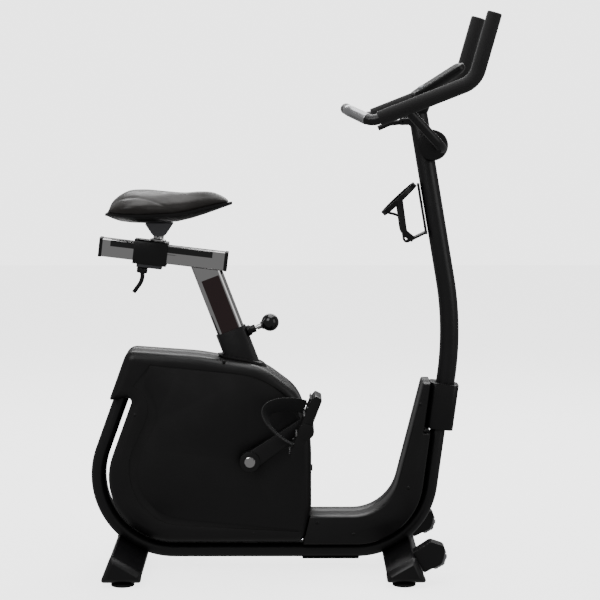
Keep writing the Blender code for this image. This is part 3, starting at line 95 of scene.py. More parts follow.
# ---- shapes -------------------------------------------------------------------------------
def rounded(points, radii, closed, step=8.0):
    """A polyline with its corners rounded by arcs of at most step degrees."""
    points = [Vector(p) for p in points]
    count = len(points)
    result = []
    for index, corner in enumerate(points):
        ends = not closed and index in (0, count - 1)
        before = points[index - 1] - corner
        after = points[(index + 1) % count] - corner
        half = before.angle(after) / 2
        turn = math.pi - 2 * half
        radius = radii[index]
        if ends or radius <= 0 or turn < 1e-4:
            result.append(corner)
            continue
        reach = min(radius / math.tan(half), 0.7 * min(before.length, after.length))
        radius = reach * math.tan(half)
        toward = (before.normalized() + after.normalized()).normalized()
        middle = corner + toward * (radius / math.sin(half))
        start = corner + before.normalized() * reach - middle
        finish = corner + after.normalized() * reach - middle
        steps = max(2, math.ceil(math.degrees(turn) / step - 0.01))
        for number in range(steps + 1):
            share = number / steps
            point = start * math.sin((1 - share) * turn) + finish * math.sin(share * turn)
            result.append(middle + point / math.sin(turn))
    return result


def inset_outline(corners, inset, step=8.0):
    """A clockwise outline of (x, z, radius) corners, moved inwards and then rounded."""
    count = len(corners)
    flat = [Vector((x, z)) for x, z, _ in corners]
    moved = []
    radii = []
    for index in range(count):
        before = (flat[index] - flat[index - 1]).normalized()
        after = (flat[(index + 1) % count] - flat[index]).normalized()
        inward = Vector((before.y, -before.x))
        total = inward + Vector((after.y, -after.x))
        spot = flat[index] + total * (inset / total.dot(inward))
        moved.append((spot.x, spot.y, 0))
        convex = before.x * after.y - before.y * after.x < 0
        radius = corners[index][2]
        radii.append(max(radius - inset, 0.0015) if convex else radius + inset)
    return [(p.x, p.y) for p in rounded(moved, radii, True, step)]


def loft(rings, close_ends=True, close_loop=False):
    """Join rings of equal point counts with quads; fill the ends or join last to first."""
    made = bmesh.new()
    loops = [[made.verts.new(point) for point in ring] for ring in rings]
    pairs = list(zip(loops, loops[1:]))
    if close_loop:
        pairs.append((loops[-1], loops[0]))
    for first, second in pairs:
        for index in range(len(first)):
            nxt = (index + 1) % len(first)
            made.faces.new((first[index], first[nxt], second[nxt], second[index]))
    if close_ends and not close_loop:
        made.faces.new(list(reversed(loops[0])))
        made.faces.new(loops[-1])
    bmesh.ops.recalc_face_normals(made, faces=made.faces)
    return made


def prism(outline, low, high):
    return loft([[(x, y, z) for x, z in outline] for y in (low, high)])


def along_path(path, side=(0, 1, 0), closed=False):
    """For each point of a path: the point and its across and up vectors, untwisted."""
    path = [Vector(p) for p in path]
    side = Vector(side)
    previous = None
    result = []
    last = len(path) - 1
    for index, place in enumerate(path):
        before = path[index - 1] if closed or index else place
        after = path[(index + 1) % len(path)] if closed or index < last else place
        tangent = (after - before).normalized()
        if previous is not None:
            side = previous.rotation_difference(tangent) @ side
        side = (side - tangent * side.dot(tangent)).normalized()
        previous = tangent
        result.append((place, side, tangent.cross(side)))
    return result


def sweep(path, section, side=(0, 1, 0), scales=None):
    rings = []
    for index, (place, across, up) in enumerate(along_path(path, side)):
        size = scales[index] if scales else 1.0
        rings.append([place + across * u * size + up * v * size for u, v in section])
    return loft(rings)


def circle(radius, sides=32):
    turn = 2 * math.pi / sides
    return [(radius * math.cos(k * turn), radius * math.sin(k * turn)) for k in range(sides)]


def round_box(wide, high, radius, step=15.0):
    w = wide / 2
    h = high / 2
    corners = [(-w, h, 0), (w, h, 0), (w, -h, 0), (-w, -h, 0)]
    return [(p.x, p.y) for p in rounded(corners, [radius] * 4, True, step)]


def rod(start, end, radius, sides=28):
    start = Vector(start)
    end = Vector(end)
    side = (0, 1, 0) if abs((end - start).normalized().y) < 0.9 else (1, 0, 0)
    return sweep([start, end], circle(radius, sides), side)


def turned(profile, centre, axis=(0, 1, 0), sides=48):
    """Turn a profile of (radius, along) points about an axis; on the axis it closes."""
    made = bmesh.new()
    lined = Vector((0, 0, 1)).rotation_difference(Vector(axis)).to_matrix().to_4x4()
    place = Matrix.Translation(centre) @ lined
    turn = 2 * math.pi / sides
    rings = []
    for radius, along in profile:
        count = sides if radius > 1e-7 else 1
        rings.append([made.verts.new(place @ Vector((
            radius * math.cos(k * turn), radius * math.sin(k * turn), along)))
            for k in range(count)])
    pairs = list(zip(rings, rings[1:]))
    if len(rings[0]) > 1:
        pairs.append((rings[-1], rings[0]))
    for first, second in pairs:
        for k in range(sides):
            nxt = (k + 1) % sides
            loop = [first[k % len(first)], first[nxt % len(first)],
                    second[nxt % len(second)], second[k % len(second)]]
            made.faces.new(list(dict.fromkeys(loop)))
    bmesh.ops.recalc_face_normals(made, faces=made.faces)
    return made


def box(centre, size, tilt=0.0, edge=0.001):
    """A box turned about Y, with its four edges along Y rounded."""
    points = []
    for u, v in round_box(size[0], size[2], edge):
        points.append((centre[0] + u * math.cos(tilt) - v * math.sin(tilt),
                       centre[2] + u * math.sin(tilt) + v * math.cos(tilt)))
    return prism(points, centre[1] - size[1] / 2, centre[1] + size[1] / 2)


def merge(*parts):
    """Several closed shapes in one mesh, each still its own shell."""
    whole = bmesh.new()
    for part in parts:
        mesh = bpy.data.meshes.new("part")
        part.to_mesh(mesh)
        part.free()
        whole.from_mesh(mesh)
        bpy.data.meshes.remove(mesh)
    return whole


def place_object(name, shape):
    mesh = bpy.data.meshes.new(name)
    shape.to_mesh(mesh)
    shape.free()
    made = bpy.data.objects.new(name, mesh)
    bpy.context.scene.collection.objects.link(made)
    return made


def bake_modifiers(made):
    """Turn an object's modifiers into plain mesh."""
    depsgraph = bpy.context.evaluated_depsgraph_get()
    mesh = bpy.data.meshes.new_from_object(made.evaluated_get(depsgraph))
    made.modifiers.clear()
    made.data = mesh
    return made


def carve(shape, *tools):
    """Cut tools from a shape with exact Booleans."""
    base = place_object("base", shape)
    for tool in tools:
        cutter = place_object("cutter", tool)
        modifier = base.modifiers.new("cut", "BOOLEAN")
        modifier.operation = "DIFFERENCE"
        modifier.solver = "EXACT"
        modifier.object = cutter
        bake_modifiers(base)
        bpy.data.objects.remove(cutter)
    result = bmesh.new()
    result.from_mesh(base.data)
    bpy.data.objects.remove(base)
    bmesh.ops.remove_doubles(result, verts=result.verts, dist=1e-6)
    return result


def piece(name, shape, finish, body, nodes=(), bevel=0.0, angle=32.0, segments=2):
    """A finished piece: its edges broken, shaded, finished, and riding on its body."""
    made = place_object(name, shape)
    if bevel:
        modifier = made.modifiers.new("edges", "BEVEL")
        modifier.width = bevel
        modifier.segments = segments
        modifier.limit_method = "ANGLE"
        modifier.angle_limit = math.radians(angle)
        modifier.use_clamp_overlap = True
        modifier.harden_normals = False
        bake_modifiers(made)
    made.data.materials.clear()
    made.data.materials.append(finish)
    made.data.shade_smooth()
    made.data.set_sharp_from_angle(angle=math.radians(angle))
    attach(made, body)
    if nodes:
        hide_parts(*nodes)
    return made


def node_copy(name):
    """A CAD node's mesh, with its loose triangles joined."""
    shape = bmesh.new()
    shape.from_mesh(frame["nodes"][name].data)
    bmesh.ops.remove_doubles(shape, verts=shape.verts, dist=1e-5)
    bmesh.ops.dissolve_limit(shape, angle_limit=math.radians(1.0), verts=shape.verts,
                             edges=shape.edges)
    return shape


def refine(name, finish, bevel=0.0006, angle=28.0):
    """A smooth, softly edged copy of a CAD node, in place of it."""
    body = frame["nodes"][name]["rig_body"]
    return piece(name + "_finished", node_copy(name), finish, body, (name,), bevel, angle)


# ---- materials ----------------------------------------------------------------------------
def add_node(tree, kind, links=(), **settings):
    """Add a node; settings are sockets by name or the node's own properties."""
    made = tree.nodes.new(kind)
    for key, value in settings.items():
        if hasattr(made, key):
            setattr(made, key, value)
        else:
            made.inputs[key.replace("_", " ")].default_value = value
    for socket, source in links:
        tree.links.new(source, made.inputs[socket])
    return made


def start_material(name, slot, colour, rough, metallic=0.0, **shader_values):
    """A Principled material on Object coordinates, with its plain values set."""
    made = bpy.data.materials.new(name)
    made.use_nodes = True
    made["slot"] = slot
    tree = made.node_tree
    shader = tree.nodes["Principled BSDF"]
    shader.inputs["Base Color"].default_value = linear(colour)
    shader.inputs["Roughness"].default_value = rough
    shader.inputs["Metallic"].default_value = metallic
    for key, value in shader_values.items():
        shader.inputs[key.replace("_", " ")].default_value = value
    made.diffuse_color = linear(colour)
    coordinates = add_node(tree, "ShaderNodeTexCoord")
    return made, tree, shader, coordinates.outputs["Object"]


def pattern_scale(size_mm):
    """Noise and Voronoi scale whose features are size_mm apart, in a model in metres."""
    return 1.0 / (size_mm * MM)


def vary_colour(tree, shader, place, low, high, size_mm):
    """Slow change between two near colours, as batches and handling leave."""
    noise = add_node(tree, "ShaderNodeTexNoise", [("Vector", place)],
                     Scale=pattern_scale(size_mm), Detail=3.0)
    mix = add_node(tree, "ShaderNodeMix", [("Factor", noise.outputs["Fac"])], data_type="RGBA")
    for socket in mix.inputs:
        if socket.type == "RGBA" and socket.name == "A":
            socket.default_value = linear(low)
        if socket.type == "RGBA" and socket.name == "B":
            socket.default_value = linear(high)
    result = [s for s in mix.outputs if s.type == "RGBA"][0]
    tree.links.new(result, shader.inputs["Base Color"])
    return result


def vary_roughness(tree, shader, place, low, high, size_mm):
    noise = add_node(tree, "ShaderNodeTexNoise", [("Vector", place)],
                     Scale=pattern_scale(size_mm), Detail=4.0)
    ramp = add_node(tree, "ShaderNodeMapRange", [("Value", noise.outputs["Fac"])])
    ramp.inputs["From Min"].default_value = 0.3
    ramp.inputs["From Max"].default_value = 0.7
    ramp.inputs["To Min"].default_value = low
    ramp.inputs["To Max"].default_value = high
    tree.links.new(ramp.outputs["Result"], shader.inputs["Roughness"])


def bump(tree, shader, height, depth_mm, strength=1.0):
    node = add_node(tree, "ShaderNodeBump", [("Height", height)])
    node.inputs["Strength"].default_value = strength
    node.inputs["Distance"].default_value = depth_mm * MM
    tree.links.new(node.outputs["Normal"], shader.inputs["Normal"])


def powder_coat():
    """Satin polyester powder coat on steel: a faint orange peel breaks its soft highlights."""
    made, tree, shader, place = start_material(
        "powder_coated_steel", "frame_paint", "#121113", 0.36, Coat_Weight=0.15)
    shader.inputs["Coat Roughness"].default_value = 0.25
    vary_colour(tree, shader, place, "#0f0e10", "#151416", 60.0)
    vary_roughness(tree, shader, place, 0.32, 0.42, 25.0)
    # Real orange peel is about 1.5 mm across; drawn at 2.5 mm so that it still shows.
    peel = add_node(tree, "ShaderNodeTexNoise", [("Vector", place)],
                    Scale=pattern_scale(2.5), Detail=1.0)
    bump(tree, shader, peel.outputs["Fac"], 0.05, 0.5)
    return made


def moulded_abs(name, low, high, rough):
    """Injection-moulded ABS from a spark-eroded tool: an even fine grain, satin shine."""
    made, tree, shader, place = start_material(name, "moulded_black", low, rough)
    vary_colour(tree, shader, place, low, high, 80.0)
    vary_roughness(tree, shader, place, rough - 0.04, rough + 0.05, 40.0)
    # The eroded grain is about 0.5 mm; drawn at 1.4 mm so that it still shows.
    grain = add_node(tree, "ShaderNodeTexNoise", [("Vector", place)],
                     Scale=pattern_scale(1.4), Detail=2.0)
    bump(tree, shader, grain.outputs["Fac"], 0.10, 0.6)
    return made


def gloss_moulding():
    """Polished moulded ABS or phenolic, as on a ball knob: tight, clear highlights."""
    made, tree, shader, place = start_material(
        "polished_black_moulding", "gloss_black", "#141415", 0.12, Coat_Weight=0.4)
    shader.inputs["Coat Roughness"].default_value = 0.06
    vary_roughness(tree, shader, place, 0.09, 0.18, 9.0)
    return made


def black_rubber():
    """Moulded nitrile rubber: dull, a little dusty, with no clear highlight."""
    made, tree, shader, place = start_material("moulded_rubber", "black_rubber", "#121213", 0.68)
    vary_colour(tree, shader, place, "#101011", "#181819", 18.0)
    grain = add_node(tree, "ShaderNodeTexNoise", [("Vector", place)],
                     Scale=pattern_scale(1.2), Detail=2.0)
    bump(tree, shader, grain.outputs["Fac"], 0.08, 0.5)
    return made


def grip_foam():
    """Closed-cell NBR foam sleeve: skin of tiny cells, soft and matt with a grey bloom."""
    made, tree, shader, place = start_material(
        "nbr_foam", "black_foam", "#161516", 0.78, Sheen_Weight=0.25)
    shader.inputs["Sheen Roughness"].default_value = 0.5
    vary_colour(tree, shader, place, "#131213", "#1b1a1b", 30.0)
    # Foam cells are about 0.4 mm; drawn at 1.6 mm so that the skin still reads as foam.
    cells = add_node(tree, "ShaderNodeTexVoronoi", [("Vector", place)], Scale=pattern_scale(1.6))
    bump(tree, shader, cells.outputs["Distance"], 0.12, 0.7)
    return made


def leatherette():
    """PVC leatherette over foam: pebble grain, soft warm sheen on its crowns."""
    made, tree, shader, place = start_material(
        "pvc_leatherette", "leatherette", "#2a2725", 0.42, Sheen_Weight=0.15)
    shader.inputs["Sheen Roughness"].default_value = 0.4
    vary_colour(tree, shader, place, "#262321", "#302c2a", 45.0)
    vary_roughness(tree, shader, place, 0.36, 0.48, 20.0)
    # Pebble grain of about 1 mm, drawn at 1.8 mm.
    wobble = add_node(tree, "ShaderNodeTexNoise", [("Vector", place)],
                      Scale=pattern_scale(3.0), Detail=2.0)
    shifted = add_node(tree, "ShaderNodeVectorMath", [(0, place), (1, wobble.outputs["Color"])],
                       operation="MULTIPLY_ADD")
    shifted.inputs[2].default_value = (0.0, 0.0, 0.0)
    tree.links.new(place, shifted.inputs[2])
    shifted.inputs[0].default_value = (0.0, 0.0, 0.0)
    pebbles = add_node(tree, "ShaderNodeTexVoronoi", [("Vector", place)],
                       Scale=pattern_scale(1.8), feature="SMOOTH_F1")
    bump(tree, shader, pebbles.outputs["Distance"], 0.16, 0.65)
    return made


def chrome_plate():
    """Bright nickel-chrome plate on drawn steel tube: mirror-like with faint draw lines."""
    made, tree, shader, place = start_material(
        "chrome_plated_steel", "chrome", "#d9d8d8", 0.07, 1.0)
    vary_roughness(tree, shader, place, 0.05, 0.12, 14.0)
    lines = add_node(tree, "ShaderNodeTexNoise", [("Vector", place)],
                     Scale=pattern_scale(4.0), Detail=3.0)
    bump(tree, shader, lines.outputs["Fac"], 0.01, 0.3)
    return made


def steel_turned():
    """Lathe-turned mild steel: grey, with a brushed look in its roughness."""
    made, tree, shader, place = start_material("turned_steel", "steel", "#9b9b9d", 0.28, 1.0)
    vary_roughness(tree, shader, place, 0.22, 0.36, 6.0)
    return made


def cast_grey():
    """Satin die-cast zinc or aluminium: mid grey, fine grain from the die."""
    made, tree, shader, place = start_material("die_cast_grey", "grey_metal", "#6c6c6f", 0.34, 0.9)
    vary_roughness(tree, shader, place, 0.28, 0.42, 8.0)
    grain = add_node(tree, "ShaderNodeTexNoise", [("Vector", place)],
                     Scale=pattern_scale(1.5), Detail=2.0)
    bump(tree, shader, grain.outputs["Fac"], 0.06, 0.5)
    return made


def tread_plastic():
    """Light grey moulded tread of a transport wheel: scuffed polyurethane."""
    made, tree, shader, place = start_material("grey_polyurethane", "tread_grey", "#b9b9bb", 0.50)
    vary_colour(tree, shader, place, "#a2a2a5", "#c9c9cb", 9.0)
    return made


def painted_reflection_strip(name, colour, rough):
    """Painted reflection: a dark glossy sheet along a plated tube's flat face, standing in for the dark
    that the chrome mirrors.
    """
    made, tree, shader, place = start_material(name, "gloss_black", colour, rough, Coat_Weight=0.6)
    shader.inputs["Coat Roughness"].default_value = 0.05
    vary_roughness(tree, shader, place, rough, rough + 0.08, 30.0)
    return made


def sensor_plate():
    """Brushed stainless pulse plate: pale grey metal with fine grain along the bar."""
    made, tree, shader, place = start_material("brushed_stainless", "steel", "#c4c4c6", 0.26, 0.85)
    vary_roughness(tree, shader, place, 0.22, 0.34, 3.0)
    return made


def display_glass():
    """Tinted acrylic window: near black, clear polished surface."""
    made, tree, shader, place = start_material(
        "tinted_acrylic", "gloss_black", "#0d0f12", 0.08, Coat_Weight=0.5)
    vary_roughness(tree, shader, place, 0.06, 0.12, 40.0)
    return made


def panel_print(name, colour):
    """Screen-printed ink on the console's face."""
    made, tree, shader, place = start_material(name, "gloss_black", colour, 0.45)
    vary_roughness(tree, shader, place, 0.40, 0.50, 10.0)
    return made


def studio_floor():
    """Seamless pale paper: matt, almost white."""
    made, tree, shader, place = start_material("studio_paper", "moulded_black", "#f4f4f4", 0.9)
    glow = bpy.context.scene.bike_colours.floor
    shader.inputs["Emission Color"].default_value = (*glow, 1.0)
    shader.inputs["Emission Strength"].default_value = FLOOR_GLOW
    vary_colour(tree, shader, place, "#f2f2f2", "#f7f7f7", 400.0)
    return made


FINISHES = {}


def finish(name):
    """A material by its short name, made the first time that it is asked for."""
    makers = {
        "paint": powder_coat,
        "shroud": lambda: moulded_abs("moulded_abs_housing", "#111011", "#171617", 0.40),
        "trim": lambda: moulded_abs("moulded_abs_trim", "#0e0e0f", "#141314", 0.34),
        "gloss": gloss_moulding,
        "rubber": black_rubber,
        "foam": grip_foam,
        "leather": leatherette,
        "chrome": chrome_plate,
        "steel": steel_turned,
        "casting": cast_grey,
        "tread": tread_plastic,
        # painted reflection: a dark maroon sheet for what the chrome seat post mirrors
        "post_film": lambda: painted_reflection_strip("maroon_film", "#2b1315", 0.10),
        # painted reflection: a dark glossy sheet for what the chrome seat rail mirrors
        "rail_film": lambda: painted_reflection_strip("black_film", "#161617", 0.08),
        "sensor": sensor_plate,
        "glass": display_glass,
        "print": lambda: panel_print("grey_ink", "#8d9196"),
        "floor": studio_floor,
    }
    if name not in FINISHES:
        FINISHES[name] = makers[name]()
    return FINISHES[name]


# ---- sizes shared by the pieces, in metres ------------------------------------------------
TUBE_THICK, TUBE_WIDE, TUBE_Z = 0.034, 0.060, 0.038
REAR_LEAN, FRONT_LEAN = math.radians(19.9), math.radians(7.5)
REAR_CORNER_X, FRONT_CORNER_X = -0.535, 0.3141
REAR_BEND, FRONT_BEND = 0.181, 0.178
REAR_TOP_Z, RISER_TOP_Z, MAST_FOOT_Z, MAST_TOP_Z = 0.498, 0.372, 0.376, 1.085
MAST_RADIUS, MAST_BEND = 0.0225, 1.2
SLIT, WRAP_Z = 0.010, 0.405
SHROUD_HALF, SHROUD_ROUND, SHROUD_FRONT_X, SHROUD_TOP = 0.070, 0.022, 0.050, 0.524
WALL = 0.003
TUBE_HALF = TUBE_THICK / 2
SLIT_OFFSET = TUBE_HALF + SLIT
SHROUD_BOTTOM = TUBE_Z + SLIT_OFFSET
WRAP_OFFSET = -(TUBE_HALF + 2.5 * WALL)
COVER_HALF, COVER_ROUND, COVER_GAP, FOOTWELL_Z = 0.060, 0.016, 0.0025, 0.129
SLEEVE_THICK, SLEEVE_WIDE, SLEEVE_LOW, SLEEVE_HIGH = 0.068, 0.076, 0.332, 0.440
CRANK_AT = joint_place("crank_spin")
PEDAL_TILT = math.radians(69.0)
CRANK_Y, CRANK_THICK = 0.082, 0.015
PEDAL_Y, PEDAL_LONG, PEDAL_WIDE, PEDAL_THICK = 0.115, 0.160, 0.095, 0.024
POST_LEAN = math.radians(21.0)
POST_UP = Vector((-math.sin(POST_LEAN), 0, math.cos(POST_LEAN)))
POST_OUT = Vector((math.cos(POST_LEAN), 0, math.sin(POST_LEAN)))
POST_AT = Vector((-0.1375, 0, 0.5555))
POST_DEEP, POST_WIDE, POST_ROUND, SOCKET_WALL = 0.066, 0.040, 0.014, 0.004
RAIL_SLOPE = math.radians(-6.8)
RAIL_ALONG = Vector((math.cos(RAIL_SLOPE), 0, math.sin(RAIL_SLOPE)))
RAIL_UP = Vector((-math.sin(RAIL_SLOPE), 0, math.cos(RAIL_SLOPE)))
RAIL_AT = Vector((-0.300, 0, 0.748))
RAIL_LONG, RAIL_HIGH, RAIL_WIDE, RAIL_CAP = 0.290, 0.044, 0.040, 0.008
CARRIAGE_AT = -0.030
PIVOT_AT = joint_place("bar_tilt")
BAR_RADIUS, FOAM_RADIUS, PIVOT_RADIUS = 0.0125, 0.0172, 0.011
HORN_TOP, HORN_FOOT = Vector((0.4585, 0.205, 1.305)), Vector((0.4165, 0.205, 1.155))
SIDE_LOW, CROSS_CORNER = Vector((0.185, 0.195, 1.064)), Vector((0.135, 0.150, 1.088))
ARM_TOP = Vector((0.262, 0.1985, 1.0935))
CONSOLE_AT, CONSOLE_SLOPE = Vector((0.3475, 0, 1.154)), math.radians(32.5)
CONSOLE_THICK = 0.020
LEVER_AT = Vector((0.264, 0, 1.060))


def rear_line(z, offset=0.0):
    return REAR_CORNER_X + (z - TUBE_Z) * math.tan(REAR_LEAN) + offset / math.cos(REAR_LEAN)


def riser_line(z, offset=0.0):
    return FRONT_CORNER_X + (z - TUBE_Z) * math.tan(FRONT_LEAN) + offset / math.cos(FRONT_LEAN)


def tube_path(extra=0.0):
    corners = [(rear_line(REAR_TOP_Z + extra), 0, REAR_TOP_Z + extra), (REAR_CORNER_X, 0, TUBE_Z),
               (FRONT_CORNER_X, 0, TUBE_Z),
               (riser_line(RISER_TOP_Z + extra), 0, RISER_TOP_Z + extra)]
    return rounded(corners, [0, REAR_BEND, FRONT_BEND, 0], False, 3.0)


def oval(grow=0.0):
    return round_box(TUBE_WIDE + 2 * grow, TUBE_THICK + 2 * grow, TUBE_THICK / 2 - 0.001 + grow, 12)


def tube_solid(grow=0.0, extra=0.0):
    return sweep(tube_path(extra), oval(grow))


def mast_path(extra=0.0):
    low = MAST_FOOT_Z - extra
    top = Vector((0.2995, 0, MAST_TOP_Z))
    middle = Vector((0.3895, 0, 0.560))
    top += (top - middle).normalized() * extra
    return rounded([(riser_line(low), 0, low), middle, top], [0, MAST_BEND, 0], False, 1.2)


def mast_middle(z):
    path = mast_path()
    for first, second in zip(path, path[1:]):
        if first.z <= z <= second.z:
            return first.x + (second.x - first.x) * (z - first.z) / (second.z - first.z)
    return path[-1].x


def rail_point(along, up=0.0, y=0.0):
    return RAIL_AT + RAIL_ALONG * along + RAIL_UP * up + Vector((0, y, 0))


def plunger_point(out):
    return POST_AT - POST_UP * 0.005 + POST_OUT * (POST_DEEP / 2 + SOCKET_WALL + out)


def shroud_corners():
    return [(rear_line(SHROUD_TOP, WRAP_OFFSET), SHROUD_TOP, 0.026),
            (-0.219, SHROUD_TOP - 0.012, 0.400), (-0.066, SHROUD_TOP - 0.037, 0.150),
            (SHROUD_FRONT_X - 0.027, SHROUD_TOP - 0.104, 0.100),
            (SHROUD_FRONT_X, 0.300, 0.200), (SHROUD_FRONT_X, 0.142, 0.120),
            (SHROUD_FRONT_X - 0.018, SHROUD_BOTTOM, 0.026),
            (rear_line(SHROUD_BOTTOM, SLIT_OFFSET), SHROUD_BOTTOM, REAR_BEND - SLIT_OFFSET),
            (rear_line(WRAP_Z + 0.008, SLIT_OFFSET), WRAP_Z + 0.008, 0.010),
            (rear_line(WRAP_Z, WRAP_OFFSET), WRAP_Z, 0.004)]


def cover_corners():
    low = TUBE_Z + TUBE_HALF + COVER_GAP
    step_z = SLEEVE_LOW - 0.004
    back = SHROUD_FRONT_X - 0.020
    inside = -(TUBE_HALF + COVER_GAP)
    top_z = SLEEVE_HIGH + 0.007
    clear = -SLEEVE_THICK / 2 - 0.001
    return [(back, FOOTWELL_Z, 0.001), (riser_line(FOOTWELL_Z, -0.092), FOOTWELL_Z, 0.110),
            (riser_line(top_z, clear - 0.019), top_z, 0.006),
            (riser_line(top_z, clear), top_z, 0.002),
            (riser_line(step_z, clear), step_z, 0.001), (riser_line(step_z, inside), step_z, 0.001),
            (riser_line(low, inside), low, FRONT_BEND - TUBE_HALF - COVER_GAP), (back, low, 0.001)]


def socket_solid(grow=0.0, down=0.190, up=0.012):
    wall = 2 * (SOCKET_WALL + grow)
    section = round_box(POST_WIDE + wall, POST_DEEP + wall, POST_ROUND + SOCKET_WALL + grow)
    return sweep([POST_AT - POST_UP * down, POST_AT + POST_UP * up], section)


def sleeve_block(grow=0.0):
    section = round_box(SLEEVE_WIDE + 2 * grow, SLEEVE_THICK + 2 * grow, 0.016)
    low, high = SLEEVE_LOW - grow, SLEEVE_HIGH + grow
    return sweep([(riser_line(low), 0, low), (riser_line(high), 0, high)], section)


def curve_value(knots, x):
    """Smooth value between (x, value) knots."""
    for index in range(len(knots) - 1):
        x0, v0 = knots[index]
        x1, v1 = knots[index + 1]
        if x <= x1:
            before = knots[max(index - 1, 0)]
            after = knots[min(index + 2, len(knots) - 1)]
            slope0 = (v1 - before[1]) / (x1 - before[0])
            slope1 = (after[1] - v0) / (after[0] - x0)
            t = (x - x0) / (x1 - x0)
            span = x1 - x0
            return ((2 * t ** 3 - 3 * t ** 2 + 1) * v0 + (t ** 3 - 2 * t ** 2 + t) * span * slope0
                    + (3 * t ** 2 - 2 * t ** 3) * v1 + (t ** 3 - t ** 2) * span * slope1)
    return knots[-1][1]


# ---- repeats, by Geometry Nodes -----------------------------------------------------------
def repeat_tree(title, size_name, build):
    """A node tree that stands a small shape on every vertex of a guide mesh.

    The guide's 'aim' attribute points the copies' Z, so they need no orientation of their own.
    """
    tree = bpy.data.node_groups.new(title, "GeometryNodeTree")
    interface = tree.interface
    interface.new_socket("Geometry", in_out="INPUT", socket_type="NodeSocketGeometry")
    size = interface.new_socket(size_name, in_out="INPUT", socket_type="NodeSocketFloat")
    finish_socket = interface.new_socket("Finish", in_out="INPUT", socket_type="NodeSocketMaterial")
    interface.new_socket("Geometry", in_out="OUTPUT", socket_type="NodeSocketGeometry")
    start = add_node(tree, "NodeGroupInput")
    end = add_node(tree, "NodeGroupOutput")
    shape = build(tree, start.outputs[size_name])
    normal = add_node(tree, "GeometryNodeInputNamedAttribute", data_type="FLOAT_VECTOR")
    normal.inputs["Name"].default_value = "aim"
    turn = add_node(tree, "FunctionNodeAlignRotationToVector",
                    [("Vector", normal.outputs["Attribute"])], axis="Z")
    copies = add_node(tree, "GeometryNodeInstanceOnPoints",
                      [("Points", start.outputs["Geometry"]), ("Instance", shape),
                       ("Rotation", turn.outputs["Rotation"])])
    solid = add_node(tree, "GeometryNodeRealizeInstances",
                     [("Geometry", copies.outputs["Instances"])])
    finished = add_node(tree, "GeometryNodeSetMaterial",
                        [("Geometry", solid.outputs["Geometry"]),
                         ("Material", start.outputs["Finish"])])
    tree.links.new(finished.outputs["Geometry"], end.inputs["Geometry"])
    return tree, size.identifier, finish_socket.identifier


def repeat_piece(name, tree_parts, places, size, material, body, angle=35.0):
    """Stand the tree's shape at (point, direction) places, as one plain mesh."""
    tree, size_id, finish_id = tree_parts
    mesh = bpy.data.meshes.new(name)
    mesh.from_pydata([tuple(p) for p, _ in places], [], [])
    aim = mesh.attributes.new("aim", "FLOAT_VECTOR", "POINT")
    for index, (_, direction) in enumerate(places):
        aim.data[index].vector = direction
    made = bpy.data.objects.new(name, mesh)
    bpy.context.scene.collection.objects.link(made)
    modifier = made.modifiers.new("repeat", "NODES")
    modifier.node_group = tree
    modifier[size_id] = size
    modifier[finish_id] = material
    bake_modifiers(made)
    if not len(made.data.polygons):
        raise RuntimeError(f"{name}: the repeat made nothing")
    made.data.shade_smooth()
    made.data.set_sharp_from_angle(angle=math.radians(angle))
    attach(made, body)
    return made


def screw_shape(tree, size):
    """A domed cross-recess screw head of the given diameter, its back at the origin."""
    def times(factor):
        node = add_node(tree, "ShaderNodeMath", [(0, size)], operation="MULTIPLY")
        node.inputs[1].default_value = factor
        return node.outputs[0]

    head = add_node(tree, "GeometryNodeMeshUVSphere", [("Radius", times(0.5))])
    head.inputs["Segments"].default_value = 20
    head.inputs["Rings"].default_value = 8
    flat = add_node(tree, "GeometryNodeTransform", [("Geometry", head.outputs["Mesh"])])
    flat.inputs["Scale"].default_value = (1.0, 1.0, 0.42)
    slots = []
    for along in (0, 1):
        bar = add_node(tree, "GeometryNodeMeshCube")
        thick = [times(0.12), times(0.12), times(0.30)]
        thick[along] = times(0.58)
        size_vector = add_node(tree, "ShaderNodeCombineXYZ",
                               [("X", thick[0]), ("Y", thick[1]), ("Z", thick[2])])
        tree.links.new(size_vector.outputs[0], bar.inputs["Size"])
        lift = add_node(tree, "ShaderNodeCombineXYZ", [("Z", times(0.24))])
        moved = add_node(tree, "GeometryNodeTransform", [("Geometry", bar.outputs["Mesh"]),
                                                         ("Translation", lift.outputs[0])])
        slots.append(moved.outputs["Geometry"])
    cross = add_node(tree, "GeometryNodeMeshBoolean", operation="DIFFERENCE", solver="EXACT")
    tree.links.new(flat.outputs["Geometry"], cross.inputs["Mesh 1"])
    for slot in slots:
        tree.links.new(slot, cross.inputs["Mesh 2"])
    return cross.outputs["Mesh"]


def bolt_shape(tree, size):
    """A hexagon head with a washer, of the given width across its corners."""
    def times(factor):
        node = add_node(tree, "ShaderNodeMath", [(0, size)], operation="MULTIPLY")
        node.inputs[1].default_value = factor
        return node.outputs[0]

    parts = []
    for sides, radius, depth, lift in ((6, 0.5, 0.32, 0.24), (24, 0.62, 0.10, 0.05)):
        head = add_node(tree, "GeometryNodeMeshCylinder",
                        [("Radius", times(radius)), ("Depth", times(depth))])
        head.inputs["Vertices"].default_value = sides
        rise = add_node(tree, "ShaderNodeCombineXYZ", [("Z", times(lift))])
        moved = add_node(tree, "GeometryNodeTransform", [("Geometry", head.outputs["Mesh"]),
                                                         ("Translation", rise.outputs[0])])
        parts.append(moved.outputs["Geometry"])
    both = add_node(tree, "GeometryNodeJoinGeometry")
    for part in parts:
        tree.links.new(part, both.inputs["Geometry"])
    return both.outputs["Geometry"]


